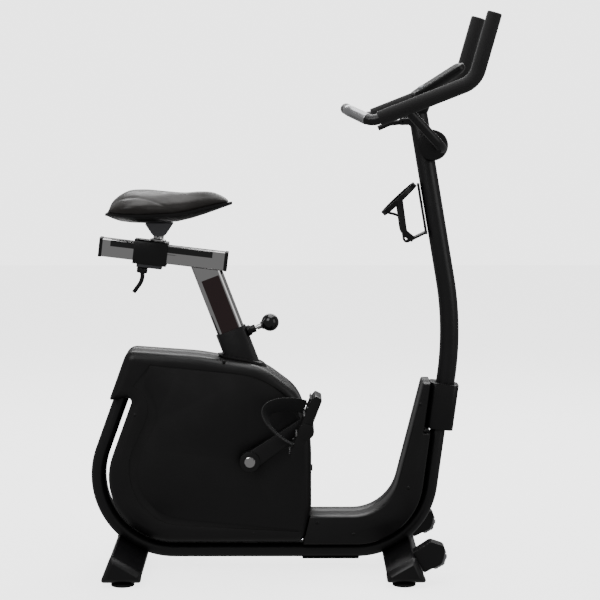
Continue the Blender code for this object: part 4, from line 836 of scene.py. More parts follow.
# ---- the add-on's settings ----------------------------------------------------------------
class BikeSizes(bpy.types.PropertyGroup):
    """Sizes of the details that a user may change"""
    edge: FloatProperty(name="Edge radius", description="Radius on moulded and cut edges",
                        default=0.0008, min=0.0, max=0.003, unit="LENGTH")
    screw: FloatProperty(name="Screw head", description="Diameter of the cover screws",
                         default=0.0090, min=0.004, max=0.015, unit="LENGTH")
    bolt: FloatProperty(name="Bolt head", description="Width of the bolt heads across corners",
                        default=0.0150, min=0.006, max=0.025, unit="LENGTH")
    knobs: IntProperty(name="Wheel knobs", description="Tread blocks round a transport wheel",
                       default=18, min=6, max=40)
    fill: FloatProperty(name="Saddle fill", description="How tightly the saddle is stuffed",
                        default=0.85, min=0.0, max=1.0, subtype="FACTOR")
    floor: FloatProperty(name="Floor size", description="Side of the studio floor",
                         default=16.0, min=4.0, max=40.0, unit="LENGTH")


class BikeColours(bpy.types.PropertyGroup):
    """Colours that a user may change"""
    floor: FloatVectorProperty(name="Floor", description="Colour in which the paper floor glows",
                               default=linear("#ffffff")[:3], min=0.0, max=1.0,
                               subtype="COLOR")


def moulding(name, shape, material, body, nodes=(), edge=None, angle=32.0):
    width = bpy.context.scene.bike_sizes.edge if edge is None else edge
    return piece(name, shape, finish(material), body, nodes, width, angle)


# ---- frame --------------------------------------------------------------------------------
class BIKE_OT_frame(bpy.types.Operator):
    """Make the frame tube, the mast and the hidden inner frame"""
    bl_idname = "bike.make_frame"
    bl_label = "Frame"

    def execute(self, context):
        moulding("frame_tube_finished", tube_solid(), "paint", "base", ["frame_tube"], 0.0005, 40)
        lugs = []
        for _, side in SIDES:
            start = Vector((mast_middle(LEVER_AT.z) - 0.006, side * 0.0125, LEVER_AT.z))
            end = Vector((LEVER_AT.x - 0.006, side * 0.0125, LEVER_AT.z))
            lugs.append(sweep([start, end], round_box(0.005, 0.016, 0.002)))
        pin = rod(LEVER_AT - Vector((0, 0.015, 0)), LEVER_AT + Vector((0, 0.015, 0)), 0.003, 16)
        mast = sweep(mast_path(), circle(MAST_RADIUS, 48))
        moulding("mast_finished", merge(mast, *lugs, pin), "paint", "base", ["mast"], 0.0006)
        refine("inner_frame", finish("paint"), 0.0004)
        strip = prism([(x, z) for x, z in ((0.028, TUBE_Z - TUBE_HALF - 0.0002),
                                           (0.165, TUBE_Z - TUBE_HALF - 0.0002),
                                           (0.163, TUBE_Z - TUBE_HALF - 0.0042),
                                           (0.030, TUBE_Z - TUBE_HALF - 0.0042))], -0.022, 0.022)
        moulding("frame_pad_strip", strip, "rubber", "base", (), 0.001)
        return {"FINISHED"}


# ---- feet and wheels ----------------------------------------------------------------------
WHEEL_RADIUS, WHEEL_WIDE, WHEEL_PIN = 0.030, 0.024, 0.004


def tread_shape(tree, size):
    """One block of a wheel's tread, pointing outwards."""
    block = add_node(tree, "GeometryNodeMeshCube")

    def times(factor):
        node = add_node(tree, "ShaderNodeMath", [(0, size)], operation="MULTIPLY")
        node.inputs[1].default_value = factor
        return node.outputs[0]

    sides = add_node(tree, "ShaderNodeCombineXYZ", [("X", times(1.0)), ("Y", times(0.7)),
                                                    ("Z", times(0.5))])
    tree.links.new(sides.outputs[0], block.inputs["Size"])
    return block.outputs["Mesh"]


class BIKE_OT_feet(bpy.types.Operator):
    """Make the stabilizers, their end caps and the levelling feet"""
    bl_idname = "bike.make_feet"
    bl_label = "Feet"

    def execute(self, context):
        bolts = []
        for word in ("front", "rear"):
            refine(word + "_stabilizer", finish("paint"), 0.0015, 24.0)
            for side_word, _ in SIDES:
                refine(f"end_cap_{word}_{side_word}", finish("trim"), 0.0012, 20.0)
                low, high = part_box(f"foot_{word}_{side_word}")
                place = Vector(((low.x + high.x) / 2, (low.y + high.y) / 2, 0))
                profile = [(0, 0), (0.0245, 0), (0.0262, 0.0006), (0.027, 0.002), (0.027, 0.005),
                           (0.0255, 0.0066), (0.0225, 0.0080), (0.011, 0.0080), (0.010, 0.0086),
                           (0.005, 0.0090), (0.005, 0.030), (0, 0.030)]
                moulding(f"foot_{word}_{side_word}_finished", turned(profile, place, (0, 0, 1)),
                         "rubber", f"level_{word}_{side_word}", [f"foot_{word}_{side_word}"], 0.0)
            low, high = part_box(word + "_stabilizer")
            middle = (low.x + high.x) / 2
            for _, side in SIDES:
                bolts.append((Vector((middle, side * 0.018, TUBE_Z - TUBE_HALF - 0.004)),
                              Vector((0, 0, -1))))
        repeat_piece("stabilizer_bolts", repeat_tree("bolt_heads", "Size", bolt_shape), bolts,
                     context.scene.bike_sizes.bolt, finish("chrome"), "base")
        return {"FINISHED"}


class BIKE_OT_wheels(bpy.types.Operator):
    """Make the transport wheels, their blocks of tread and their housings"""
    bl_idname = "bike.make_wheels"
    bl_label = "Transport wheels"

    def execute(self, context):
        count = context.scene.bike_sizes.knobs
        half = WHEEL_WIDE / 2
        tree = repeat_tree("wheel_tread", "Size", tread_shape)
        for word, _ in SIDES:
            centre = joint_place("wheel_spin_" + word)
            core = WHEEL_RADIUS - 0.0022
            profile = [(WHEEL_PIN + 0.001, -half), (0.010, -half), (0.011, -half + 0.002),
                       (0.021, -half + 0.003), (0.023, -half + 0.0005), (core - 0.001, -half),
                       (core, -half + 0.001), (core, half - 0.001), (core - 0.001, half),
                       (0.023, half - 0.0005), (0.021, half - 0.003), (0.011, half - 0.002),
                       (0.010, half), (WHEEL_PIN + 0.001, half)]
            moulding(f"transport_wheel_{word}_finished", turned(profile, centre), "tread",
                     "wheel_" + word, ["transport_wheel_" + word], 0.0)
            places = []
            for number in range(count):
                turn = 2 * math.pi * number / count
                out = Vector((math.cos(turn), 0, math.sin(turn)))
                shift = half * 0.45 * (1 if number % 2 else -1)
                places.append((centre + out * (core - 0.0002) + Vector((0, shift, 0)), out))
            repeat_piece(f"wheel_tread_{word}", tree, places, 0.0085, finish("tread"),
                         "wheel_" + word)
            refine("wheel_housing_" + word, finish("trim"), 0.0010, 24.0)
        return {"FINISHED"}


# ---- shroud -------------------------------------------------------------------------------
def smooth_line(points, steps=6):
    """A Catmull-Rom curve through (x, z) points."""
    flat = [Vector(p) for p in points]
    flat = [flat[0] * 2 - flat[1]] + flat + [flat[-1] * 2 - flat[-2]]
    line = []
    for index in range(1, len(flat) - 2):
        a, b, c, d = flat[index - 1:index + 3]
        for number in range(steps):
            t = number / steps
            line.append(0.5 * (2 * b + (c - a) * t + (2 * a - 5 * b + 4 * c - d) * t ** 2
                               + (3 * b - a - 3 * c + d) * t ** 3))
    line.append(flat[-2])
    return [(p.x, p.y) for p in line]


def half_shell(corners, side, half, edge, wall, bends=7):
    """One moulded half of a cover, open at the middle plane."""
    outer = [(GAP / 2, 0.0004), (0.0009, 0.0)]
    inner = [(GAP / 2, wall)]
    for number in range(bends + 1):
        turn = math.pi / 2 * number / bends
        drop = edge * (1 - math.cos(turn))
        out = half - edge + edge * math.sin(turn)
        outer.append((out, drop))
        inner.append((out - wall, wall + drop))
    rings = []
    for out, inset in list(reversed(inner)) + outer:
        rings.append([(x, side * out, z) for x, z in inset_outline(corners, inset, 6.0)])
    return loft(rings)


def groove(line, width, side, low, high):
    """A cutter that follows an open (x, z) line across a side face."""
    left, right = [], []
    for index, point in enumerate(line):
        before = Vector(line[max(index - 1, 0)])
        after = Vector(line[min(index + 1, len(line) - 1)])
        along = (after - before).normalized()
        across = Vector((-along.y, along.x)) * width / 2
        left.append((point[0] + across.x, point[1] + across.y))
        right.append((point[0] - across.x, point[1] - across.y))
    return prism(left + right[::-1], side * low, side * high)


PANEL_EDGE = [(-0.330, 0.492), (-0.341, 0.452), (-0.320, 0.408), (-0.313, 0.368), (-0.328, 0.330),
              (-0.351, 0.283), (-0.360, 0.237), (-0.352, 0.194), (-0.325, 0.156),
              (-0.278, 0.130), (-0.180, 0.117), (0.027, 0.097)]
WING_EDGE = [(-0.372, 0.441), (-0.352, 0.425), (-0.337, 0.397), (-0.340, 0.366), (-0.359, 0.320),
             (-0.377, 0.278), (-0.381, 0.237), (-0.371, 0.190), (-0.344, 0.147),
             (-0.290, 0.113), (-0.180, 0.104), (0.027, 0.092)]
RIM_LINE = [(-0.330, 0.492), (-0.300, 0.488), (-0.158, 0.474), (-0.092, 0.464), (-0.041, 0.440),
            (-0.004, 0.408), (0.016, 0.372)]


class BIKE_OT_shroud(bpy.types.Operator):
    """Make the two halves of the drive's shroud, the socket's collar and the inlet"""
    bl_idname = "bike.make_shroud"
    bl_label = "Shroud"

    def execute(self, context):
        face = SHROUD_HALF
        for word, side in SIDES:
            shell = half_shell(shroud_corners(), side, SHROUD_HALF, SHROUD_ROUND, 0.0042)
            hole_z = WRAP_Z + 0.03
            tube_hole = sweep([(rear_line(hole_z - 0.08), 0, hole_z - 0.08),
                               (rear_line(hole_z), 0, hole_z)], oval(0.001))
            axle_hole = rod((CRANK_AT.x, side * 0.04, CRANK_AT.z),
                            (CRANK_AT.x, side * 0.09, CRANK_AT.z), 0.0105)
            keel_hole = box((CRANK_AT.x, 0, SHROUD_BOTTOM), (0.042, 0.036, 0.04))
            band = prism(smooth_line(PANEL_EDGE) + smooth_line(WING_EDGE)[::-1],
                         side * (face - 0.0030), side * (face + 0.01))
            rim = groove(smooth_line(RIM_LINE), 0.0030, side, face - 0.0022, face + 0.01)
            tools = [tube_hole, socket_solid(0.001, 0.12, 0.02), axle_hole, keel_hole, band,
                     rim]
            if side < 0:
                inlet_at = Vector((SHROUD_FRONT_X - 0.012, -0.030, 0.240))
                tools.append(rod(inlet_at, inlet_at + Vector((0.03, 0, 0)), 0.0083))
            shell = carve(shell, *tools)
            moulding("shroud_" + word + "_finished", shell, "shroud", "base",
                     ["shroud_" + word], 0.0011, 30)
        refine("post_collar", finish("shroud"), 0.0012)
        refine("power_jack", finish("trim"), 0.0004)
        screws = []
        for _, side in SIDES:
            for x, z in ((-0.306, 0.497), (-0.156, 0.4985), (-0.366, 0.372), (-0.086, 0.088)):
                out = Vector((0, side, 0))
                depth = 0.0045 if z > 0.45 else 0.0012
                screws.append((Vector((x, side * (face - depth), z)), out))
        repeat_piece("shroud_screws", repeat_tree("cover_screws", "Size", screw_shape), screws,
                     context.scene.bike_sizes.screw, finish("trim"), "base")
        return {"FINISHED"}


# ---- footwell -----------------------------------------------------------------------------
class BIKE_OT_footwell(bpy.types.Operator):
    """Make the footwell covers and the sleeve under the mast"""
    bl_idname = "bike.make_footwell"
    bl_label = "Footwell"

    def execute(self, context):
        for word, side in SIDES:
            rings = []
            steps = 7
            levels = [(GAP / 2, 0.0004), (0.0009, 0.0)]
            for number in range(steps + 1):
                turn = math.pi / 2 * number / steps
                levels.append((COVER_HALF - COVER_ROUND * (1 - math.sin(turn)),
                               COVER_ROUND * 0.34 * (1 - math.cos(turn))))
            for out, inset in levels:
                outline = inset_outline(cover_corners(), inset, 4.0)
                rings.append([(x, side * out, z) for x, z in outline])
            nose = prism(inset_outline(shroud_corners(), -GAP), -SHROUD_HALF, SHROUD_HALF)
            solid = carve(loft(rings), nose, sleeve_block(GAP))
            moulding("footwell_cover_" + word + "_finished", solid, "shroud", "base",
                     ["footwell_cover_" + word], 0.0009, 30)
        sleeve = carve(sleeve_block(), tube_solid(GAP, 0.002),
                       sweep(mast_path(0.004), circle(MAST_RADIUS + GAP, 40)))
        moulding("mast_sleeve_finished", sleeve, "trim", "base", ["mast_sleeve"], 0.0014, 30)
        screws = [(Vector((x, side * (COVER_HALF - 0.0004), z)), Vector((0, side, 0)))
                  for _, side in SIDES
                  for x, z in ((0.064, 0.112), (0.150, 0.084), (0.280, 0.196), (0.308, 0.396))]
        repeat_piece("footwell_screws", repeat_tree("footwell_screws", "Size", screw_shape), screws,
                     context.scene.bike_sizes.screw, finish("trim"), "base")
        return {"FINISHED"}


# ---- cranks, pedals and straps ------------------------------------------------------------
def crank_tip(side):
    place = joint_place("pedal_spin_right" if side < 0 else "pedal_spin_left")
    return Vector((place.x, 0, place.z))


PEDAL_ALONG = Vector((math.cos(PEDAL_TILT), 0, math.sin(PEDAL_TILT)))
PEDAL_UP = Vector((-math.sin(PEDAL_TILT), 0, math.cos(PEDAL_TILT)))


def pedal_section(centre, grow=0.0):
    half = PEDAL_LONG / 2 + grow
    thick = PEDAL_THICK / 2 + grow
    corners = [(-half, thick - 0.006, 0.005), (-half + 0.02, thick, 0.02), (half - 0.02, thick, 0.02),
               (half, thick - 0.006, 0.005), (half - 0.002, -thick, 0.005),
               (-half + 0.002, -thick, 0.005)]
    return [(centre.x + PEDAL_ALONG.x * u + PEDAL_UP.x * v,
             centre.z + PEDAL_ALONG.z * u + PEDAL_UP.z * v)
            for u, v in inset_outline(corners, 0.0, 10.0)]


def stud_shape(tree, size):
    """A low round stud of a pedal's tread."""
    stud = add_node(tree, "GeometryNodeMeshCone")
    stud.inputs["Vertices"].default_value = 12

    def times(factor):
        node = add_node(tree, "ShaderNodeMath", [(0, size)], operation="MULTIPLY")
        node.inputs[1].default_value = factor
        return node.outputs[0]

    tree.links.new(times(0.5), stud.inputs["Radius Bottom"])
    tree.links.new(times(0.38), stud.inputs["Radius Top"])
    tree.links.new(times(0.35), stud.inputs["Depth"])
    return stud.outputs["Mesh"]


class BIKE_OT_cranks(bpy.types.Operator):
    """Make the cranks, the pedals with their tread, and the straps"""
    bl_idname = "bike.make_cranks"
    bl_label = "Cranks and pedals"

    def execute(self, context):
        studs = repeat_tree("pedal_studs", "Size", stud_shape)
        for word, side in SIDES:
            tip = crank_tip(side)
            along = (tip - CRANK_AT).normalized()
            across = Vector((-along.z, 0, along.x))
            low, high = CRANK_Y, CRANK_Y + CRANK_THICK
            outline = []
            for centre, radius, start in ((CRANK_AT, 0.021, 90), (tip, 0.015, -90)):
                for number in range(25):
                    angle = math.radians(start + 7.5 * number)
                    point = centre + along * radius * math.cos(angle)
                    point += across * radius * math.sin(angle)
                    outline.append((point.x, point.z))
            arm = prism(outline, side * low, side * high)
            boss = rod((CRANK_AT.x, side * 0.072, CRANK_AT.z),
                       (CRANK_AT.x, side * (high + 0.004), CRANK_AT.z), 0.024, 40)
            spindle = rod((tip.x, side * (low + 0.004), tip.z),
                          (tip.x, side * (PEDAL_Y + PEDAL_WIDE - 0.012), tip.z), 0.007)
            moulding(f"crank_{word}_finished", merge(arm, boss, spindle), "paint", "crankset",
                     ["crank_" + word], 0.0016)
            bolt_face = side * (high + 0.004)
            profile = [(0, 0), (0.0115, 0), (0.0125, side * 0.001), (0.0125, side * 0.003),
                       (0.0105, side * 0.0045), (0.0060, side * 0.0050), (0, side * 0.0050)]
            moulding(f"crank_bolt_{word}",
                     turned(profile, (CRANK_AT.x, bolt_face, CRANK_AT.z), (0, 1, 0), 32),
                     "chrome", "crankset", (), 0.0)
            centre = tip + PEDAL_ALONG * 0.004 + PEDAL_UP * 0.004
            plate = prism(pedal_section(centre), side * PEDAL_Y, side * (PEDAL_Y + PEDAL_WIDE))
            cutters = []
            for number in (-1, 1):
                slot_at = centre + PEDAL_ALONG * (0.043 * number)
                cutters.append(box((slot_at.x, side * (PEDAL_Y + PEDAL_WIDE / 2), slot_at.z),
                                   (0.034, PEDAL_WIDE - 0.028, 0.08), PEDAL_TILT, 0.006))
            barrel = rod((tip.x, side * (PEDAL_Y - 0.006), tip.z),
                         (tip.x, side * (PEDAL_Y + PEDAL_WIDE + 0.003), tip.z), 0.018, 48)
            body = merge(carve(plate, *cutters), barrel)
            moulding(f"pedal_{word}_finished", body, "trim", "pedal_unit_" + word,
                     ["pedal_" + word], 0.0014)
            places = []
            for row in (-3, -2, -1.1, 1.1, 2, 3):
                for column in range(5):
                    if abs(row) == 2 and 0 < column < 4:
                        continue
                    spot = centre + PEDAL_ALONG * (0.0225 * row) + PEDAL_UP * (PEDAL_THICK / 2)
                    spot.y = side * (PEDAL_Y + 0.012 + 0.01775 * column)
                    places.append((spot, PEDAL_UP))
            repeat_piece(f"pedal_studs_{word}", studs, places, 0.0085, finish("trim"),
                         "pedal_unit_" + word)
            self.strap(word, side, tip)
        return {"FINISHED"}

    def strap(self, word, side, tip):
        """A rubber band over the shoe, set askew."""
        base = tip + PEDAL_UP * (0.004 + PEDAL_THICK / 2)
        low, high = side * (PEDAL_Y + 0.006), side * (PEDAL_Y + PEDAL_WIDE - 0.006)
        path, widths = [], []
        steps = 40
        for number in range(steps + 1):
            share = number / steps
            lift = math.sin(math.pi * share) ** 0.6 * 0.0835
            skew = 0.040 - 0.080 * share
            path.append(base + PEDAL_UP * (0.0015 + lift) + PEDAL_ALONG * skew
                        + Vector((0, low + (high - low) * share, 0)))
            widths.append(1.0)
        section = round_box(0.032, 0.0032, 0.0012)
        band = sweep(path, section, PEDAL_ALONG, widths)
        moulding(f"strap_{word}_finished", band, "rubber", "pedal_unit_" + word,
                 ["strap_" + word], 0.0)


# ---- seat post, rail and carriage ---------------------------------------------------------
def rail_section(grow=0.0):
    half = RAIL_WIDE / 2 + grow
    top = RAIL_HIGH / 2 + grow
    step = 0.0015
    corners = [(-half, top, 0.004), (half, top, 0.004), (half, 0.002 - grow, 0.001),
               (half - step, -grow, 0.001), (half - step, -top, 0.004), (-half + step, -top, 0.004),
               (-half + step, -grow, 0.001), (-half, 0.002 - grow, 0.001)]
    return inset_outline(corners, 0.0, 10.0)


def rail_solid(start, end, grow=0.0):
    return sweep([rail_point(start), rail_point(end)], rail_section(grow))


class BIKE_OT_seat(bpy.types.Operator):
    """Make the seat post, its plunger, the rail, the carriage and its lever"""
    bl_idname = "bike.make_seat"
    bl_label = "Seat post and rail"

    def execute(self, context):
        post = sweep([POST_AT - POST_UP * 0.130, POST_AT + POST_UP * 0.24],
                     round_box(POST_WIDE, POST_DEEP, POST_ROUND, 9))
        above = rail_point(0, -RAIL_HIGH / 2 - GAP + 0.1)
        cutters = [box((above.x, 0, above.z), (0.4, 0.2, 0.2), RAIL_SLOPE)]
        for number in range(5):
            hole = POST_AT + POST_UP * (0.055 + 0.022 * number)
            cutters.append(rod(hole + POST_OUT * 0.018, hole + POST_OUT * 0.05, 0.0045, 24))
        cutters.append(rod(plunger_point(-0.014), plunger_point(0.01), 0.005, 20))
        moulding("seat_post_finished", carve(post, *cutters), "chrome", "post_unit", ["seat_post"],
                 0.0003, 40)
        for word, side in SIDES:
            # Painted reflection: a thin dark maroon glossy sheet on each flat side of the chrome post,
            # for the dark that the chrome mirrors there.
            reflection_sheet = sweep([POST_AT - POST_UP * 0.055, POST_AT + POST_UP * 0.1455],
                         round_box(0.0006, POST_DEEP - 2 * POST_ROUND + 0.005, 0.0002))
            bmesh.ops.translate(reflection_sheet, verts=reflection_sheet.verts, vec=(0, side * (POST_WIDE / 2), 0))
            moulding(f"post_film_{word}", reflection_sheet, "post_film", "post_unit", (), 0.0)
            # Painted reflection: a thin dark glossy band along the upper part of each side of the chrome
            # rail.
            band = sweep([rail_point(-0.126, 0.0122), rail_point(0.116, 0.0122)],
                         round_box(0.0006, 0.0142, 0.0002))
            bmesh.ops.translate(band, verts=band.verts, vec=(0, side * (RAIL_WIDE / 2), 0))
            moulding(f"rail_film_{word}", band, "rail_film", "post_unit", (), 0.0)
        half = RAIL_LONG / 2
        moulding("seat_rail_finished", rail_solid(-half, half), "chrome", "post_unit",
                 ["seat_rail"], 0.0004, 40)
        for word, sign in (("rear", -1), ("front", 1)):
            start, end = sorted((sign * (half + GAP), sign * (half + RAIL_CAP)))
            moulding(f"rail_cap_{word}_finished", rail_solid(start, end, 0.0012), "trim",
                     "post_unit", ["rail_cap_" + word], 0.0014)
        self.plunger()
        refine("seat_carriage", finish("trim"), 0.0012)
        refine("carriage_clamp", finish("casting"), 0.0010)
        refine("saddle_stem", finish("chrome"), 0.0004, 40.0)
        low = -RAIL_HIGH / 2 - 0.0008 - 0.014
        lever_at = CARRIAGE_AT - 0.016
        boss = turned([(0, low - GAP), (0.011, low - GAP), (0.0125, low - 0.002), (0.013, low - 0.004),
                       (0.0125, low - 0.013), (0.0115, low - 0.014), (0, low - 0.014)],
                      rail_point(lever_at), RAIL_UP, 40)
        start = rail_point(lever_at, low - 0.008)
        path = rounded([start, start + Vector((0.002, 0, -0.022)), start + Vector((-0.020, 0, -0.052))],
                       [0, 0.05, 0], False, 4.0)
        arm = sweep(path, round_box(0.018, 0.010, 0.0045))
        moulding("clamp_lever_finished", merge(boss, arm), "trim", "carriage_lever",
                 ["clamp_lever"], 0.0015)
        return {"FINISHED"}

    def plunger(self):
        housing = [(0.005, GAP), (0.0125, GAP), (0.013, 0.0008)]
        for number in range(3):
            base = 0.0018 + 0.0018 * number
            housing += [(0.013, base), (0.0122, base + 0.0003), (0.0122, base + 0.0007),
                        (0.013, base + 0.0010)]
        housing += [(0.0126, 0.0075), (0.0095, 0.0090), (0.0093, 0.0195), (0.0088, 0.0200),
                    (0.005, 0.0200)]
        moulding("plunger_housing_finished", turned(housing, plunger_point(0.0), POST_OUT),
                 "trim", "base", ["plunger_housing"], 0.0)
        ball, middle = 0.021, 0.057
        stem = [(0, GAP - 0.004), (0.004, GAP - 0.004), (0.004, 0.024), (0.0062, 0.0245), (0.0062, 0.040),
                (0, 0.040)]
        moulding("plunger_stem", turned(stem, plunger_point(0.0), POST_OUT), "chrome", "plunger",
                 (), 0.0)
        profile = [(0.0063, 0.0345), (0.0088, 0.0345), (0.0096, 0.0352)]
        first = math.asin(0.0098 / ball)
        for number in range(25):
            angle = first + (math.pi - first) * number / 24
            profile.append((ball * math.sin(angle), middle - ball * math.cos(angle)))
        profile[-1] = (0, middle + ball)
        profile[0] = (0, 0.0345)
        moulding("plunger_ball", turned(profile, plunger_point(0.0), POST_OUT), "gloss", "plunger",
                 ["plunger_knob"], 0.0)


# ---- saddle -------------------------------------------------------------------------------
SADDLE_REAR_X, SADDLE_NOSE_X = -0.432, -0.137
SADDLE_HALF = [(-0.432, 0.070), (-0.420, 0.098), (-0.385, 0.121), (-0.345, 0.120),
               (-0.300, 0.094), (-0.260, 0.062), (-0.220, 0.043), (-0.170, 0.033),
               (-0.145, 0.024), (-0.137, 0.010)]
SADDLE_TOP = [(-0.432, 0.850), (-0.421, 0.872), (-0.390, 0.893), (-0.350, 0.899),
              (-0.300, 0.895), (-0.250, 0.8915), (-0.213, 0.894), (-0.177, 0.892),
              (-0.147, 0.881), (-0.137, 0.868)]
SADDLE_UNDER = [(-0.432, 0.842), (-0.402, 0.829), (-0.355, 0.8235), (-0.308, 0.8235),
                (-0.261, 0.826), (-0.201, 0.843), (-0.154, 0.860), (-0.137, 0.866)]
PAN_DEEP, EDGE_LIFT = 0.006, 0.014


def saddle_section(x, steps=72, shrink=0.0):
    """A cross-section: flat below, round at the sides, crowned on top with a slight channel."""
    low = curve_value(SADDLE_UNDER, x) + PAN_DEEP
    high = max(curve_value(SADDLE_TOP, x), low + 0.002) - shrink
    half = curve_value(SADDLE_HALF, x) - shrink
    lift = min(EDGE_LIFT * half / 0.12, 0.3 * (high - low))
    points = []
    for number in range(steps):
        angle = 2 * math.pi * number / steps
        across = math.copysign(abs(math.cos(angle)) ** 0.75, math.cos(angle))
        up = math.copysign(abs(math.sin(angle)) ** 0.85, math.sin(angle))
        z = (low + high) / 2 + up * (high - low) / 2
        points.append((x, across * half, z - lift * across * across * (up > 0) * up))
    return points


def puffed(made, pressure, cap):
    """Swell a pad by cloth pressure; no point moves more than cap."""
    before = [v.co.copy() for v in made.data.vertices]
    modifier = made.modifiers.new("stuffing", "CLOTH")
    settings = modifier.settings
    settings.quality = 5
    settings.use_pressure = True
    settings.uniform_pressure_force = pressure
    settings.effector_weights.gravity = 0.0
    settings.tension_stiffness = 25
    settings.compression_stiffness = 25
    modifier.point_cache.frame_start = 1
    modifier.point_cache.frame_end = 20
    scene = bpy.context.scene
    for number in range(1, 21):
        scene.frame_set(number)
    depsgraph = bpy.context.evaluated_depsgraph_get()
    after = made.evaluated_get(depsgraph).to_mesh()
    moved = [v.co.copy() for v in after.vertices]
    made.evaluated_get(depsgraph).to_mesh_clear()
    made.modifiers.clear()
    scene.frame_set(1)
    for vertex, old, new in zip(made.data.vertices, before, moved):
        shift = new - old
        if shift.length > cap:
            shift *= cap / shift.length
        vertex.co = old + shift
    made.data.update()


class BIKE_OT_saddle(bpy.types.Operator):
    """Make the stuffed saddle, its pan and its clamp"""
    bl_idname = "bike.make_saddle"
    bl_label = "Saddle"

    def execute(self, context):
        count = 56
        long = SADDLE_NOSE_X - SADDLE_REAR_X
        stations = [SADDLE_REAR_X + long * (0.5 - 0.5 * math.cos(math.pi * k / count))
                    for k in range(count + 1)]
        shape = loft([saddle_section(x, 72, 0.002) for x in stations])
        pad = place_object("saddle_pad_finished", shape)
        modifier = pad.modifiers.new("remesh", "REMESH")
        modifier.mode = "VOXEL"
        modifier.voxel_size = 0.0045
        bake_modifiers(pad)
        puffed(pad, 4.0, 0.004)
        self.settle(pad)
        modifier = pad.modifiers.new("smooth", "SUBSURF")
        modifier.levels = modifier.render_levels = 1
        bake_modifiers(pad)
        self.seam(pad)
        pad.data.materials.clear()
        pad.data.materials.append(finish("leather"))
        pad.data.shade_smooth()
        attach(pad, "saddle")
        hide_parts("saddle_pad")
        refine("saddle_pan", finish("trim"), 0.0006)
        refine("saddle_clamp", finish("casting"), 0.0010)
        return {"FINISHED"}

    def settle(self, pad):
        """Keep the pad's underside on its pan and its top inside its box."""
        for vertex in pad.data.vertices:
            floor = curve_value(SADDLE_UNDER, vertex.co.x) + PAN_DEEP
            vertex.co.z = max(vertex.co.z, floor)
            vertex.co.z = min(vertex.co.z, 0.899)
            vertex.co.x = min(max(vertex.co.x, SADDLE_REAR_X), SADDLE_NOSE_X)
            vertex.co.y = min(max(vertex.co.y, -0.1235), 0.1235)

    def seam(self, pad):
        """Press the seam of each wing panel, and small wrinkles at the waist."""
        line = smooth_line([(-0.431, 0.853), (-0.405, 0.877), (-0.368, 0.886), (-0.330, 0.882),
                            (-0.296, 0.868), (-0.268, 0.852)], 10)
        for vertex in pad.data.vertices:
            here = Vector((vertex.co.x, vertex.co.z))
            if abs(vertex.co.y) < 0.02:
                continue
            near = min((here - Vector(p)).length for p in line)
            depth = 0.0016 * math.exp(-(near / 0.0028) ** 2)
            fade = min(1.0, max(0.0, (-0.258 - vertex.co.x) / 0.03))
            out = Vector((0, math.copysign(0.6, vertex.co.y), 0.8))
            vertex.co -= out * depth * fade
            waist = math.exp(-((vertex.co.x + 0.262) / 0.020) ** 2)
            ripple = math.sin((vertex.co.x + 0.4 * vertex.co.z) * 620) * 0.0005 * waist
            vertex.co.y += math.copysign(ripple, vertex.co.y)
        pad.data.update()


# ---- mast, bars and console ---------------------------------------------------------------
def bar_path(step=5.0):
    side = [HORN_TOP, HORN_FOOT, SIDE_LOW, CROSS_CORNER]
    points = [Vector((p.x, -p.y, p.z)) for p in side] + side[::-1]
    radii = [0, 0.055, 0.035, 0.042, 0.042, 0.035, 0.055, 0]
    return rounded(points, radii, False, step)


def arms_solid(grow=0.0):
    reach = 0.172
    points = [Vector((ARM_TOP.x, -ARM_TOP.y, ARM_TOP.z)), Vector((PIVOT_AT.x, -reach, PIVOT_AT.z)),
              Vector((PIVOT_AT.x, reach, PIVOT_AT.z)), ARM_TOP]
    return sweep(rounded(points, [0, 0.045, 0.045, 0], False, 5.0),
                 circle(PIVOT_RADIUS + grow, 32), (1, 0, 0))


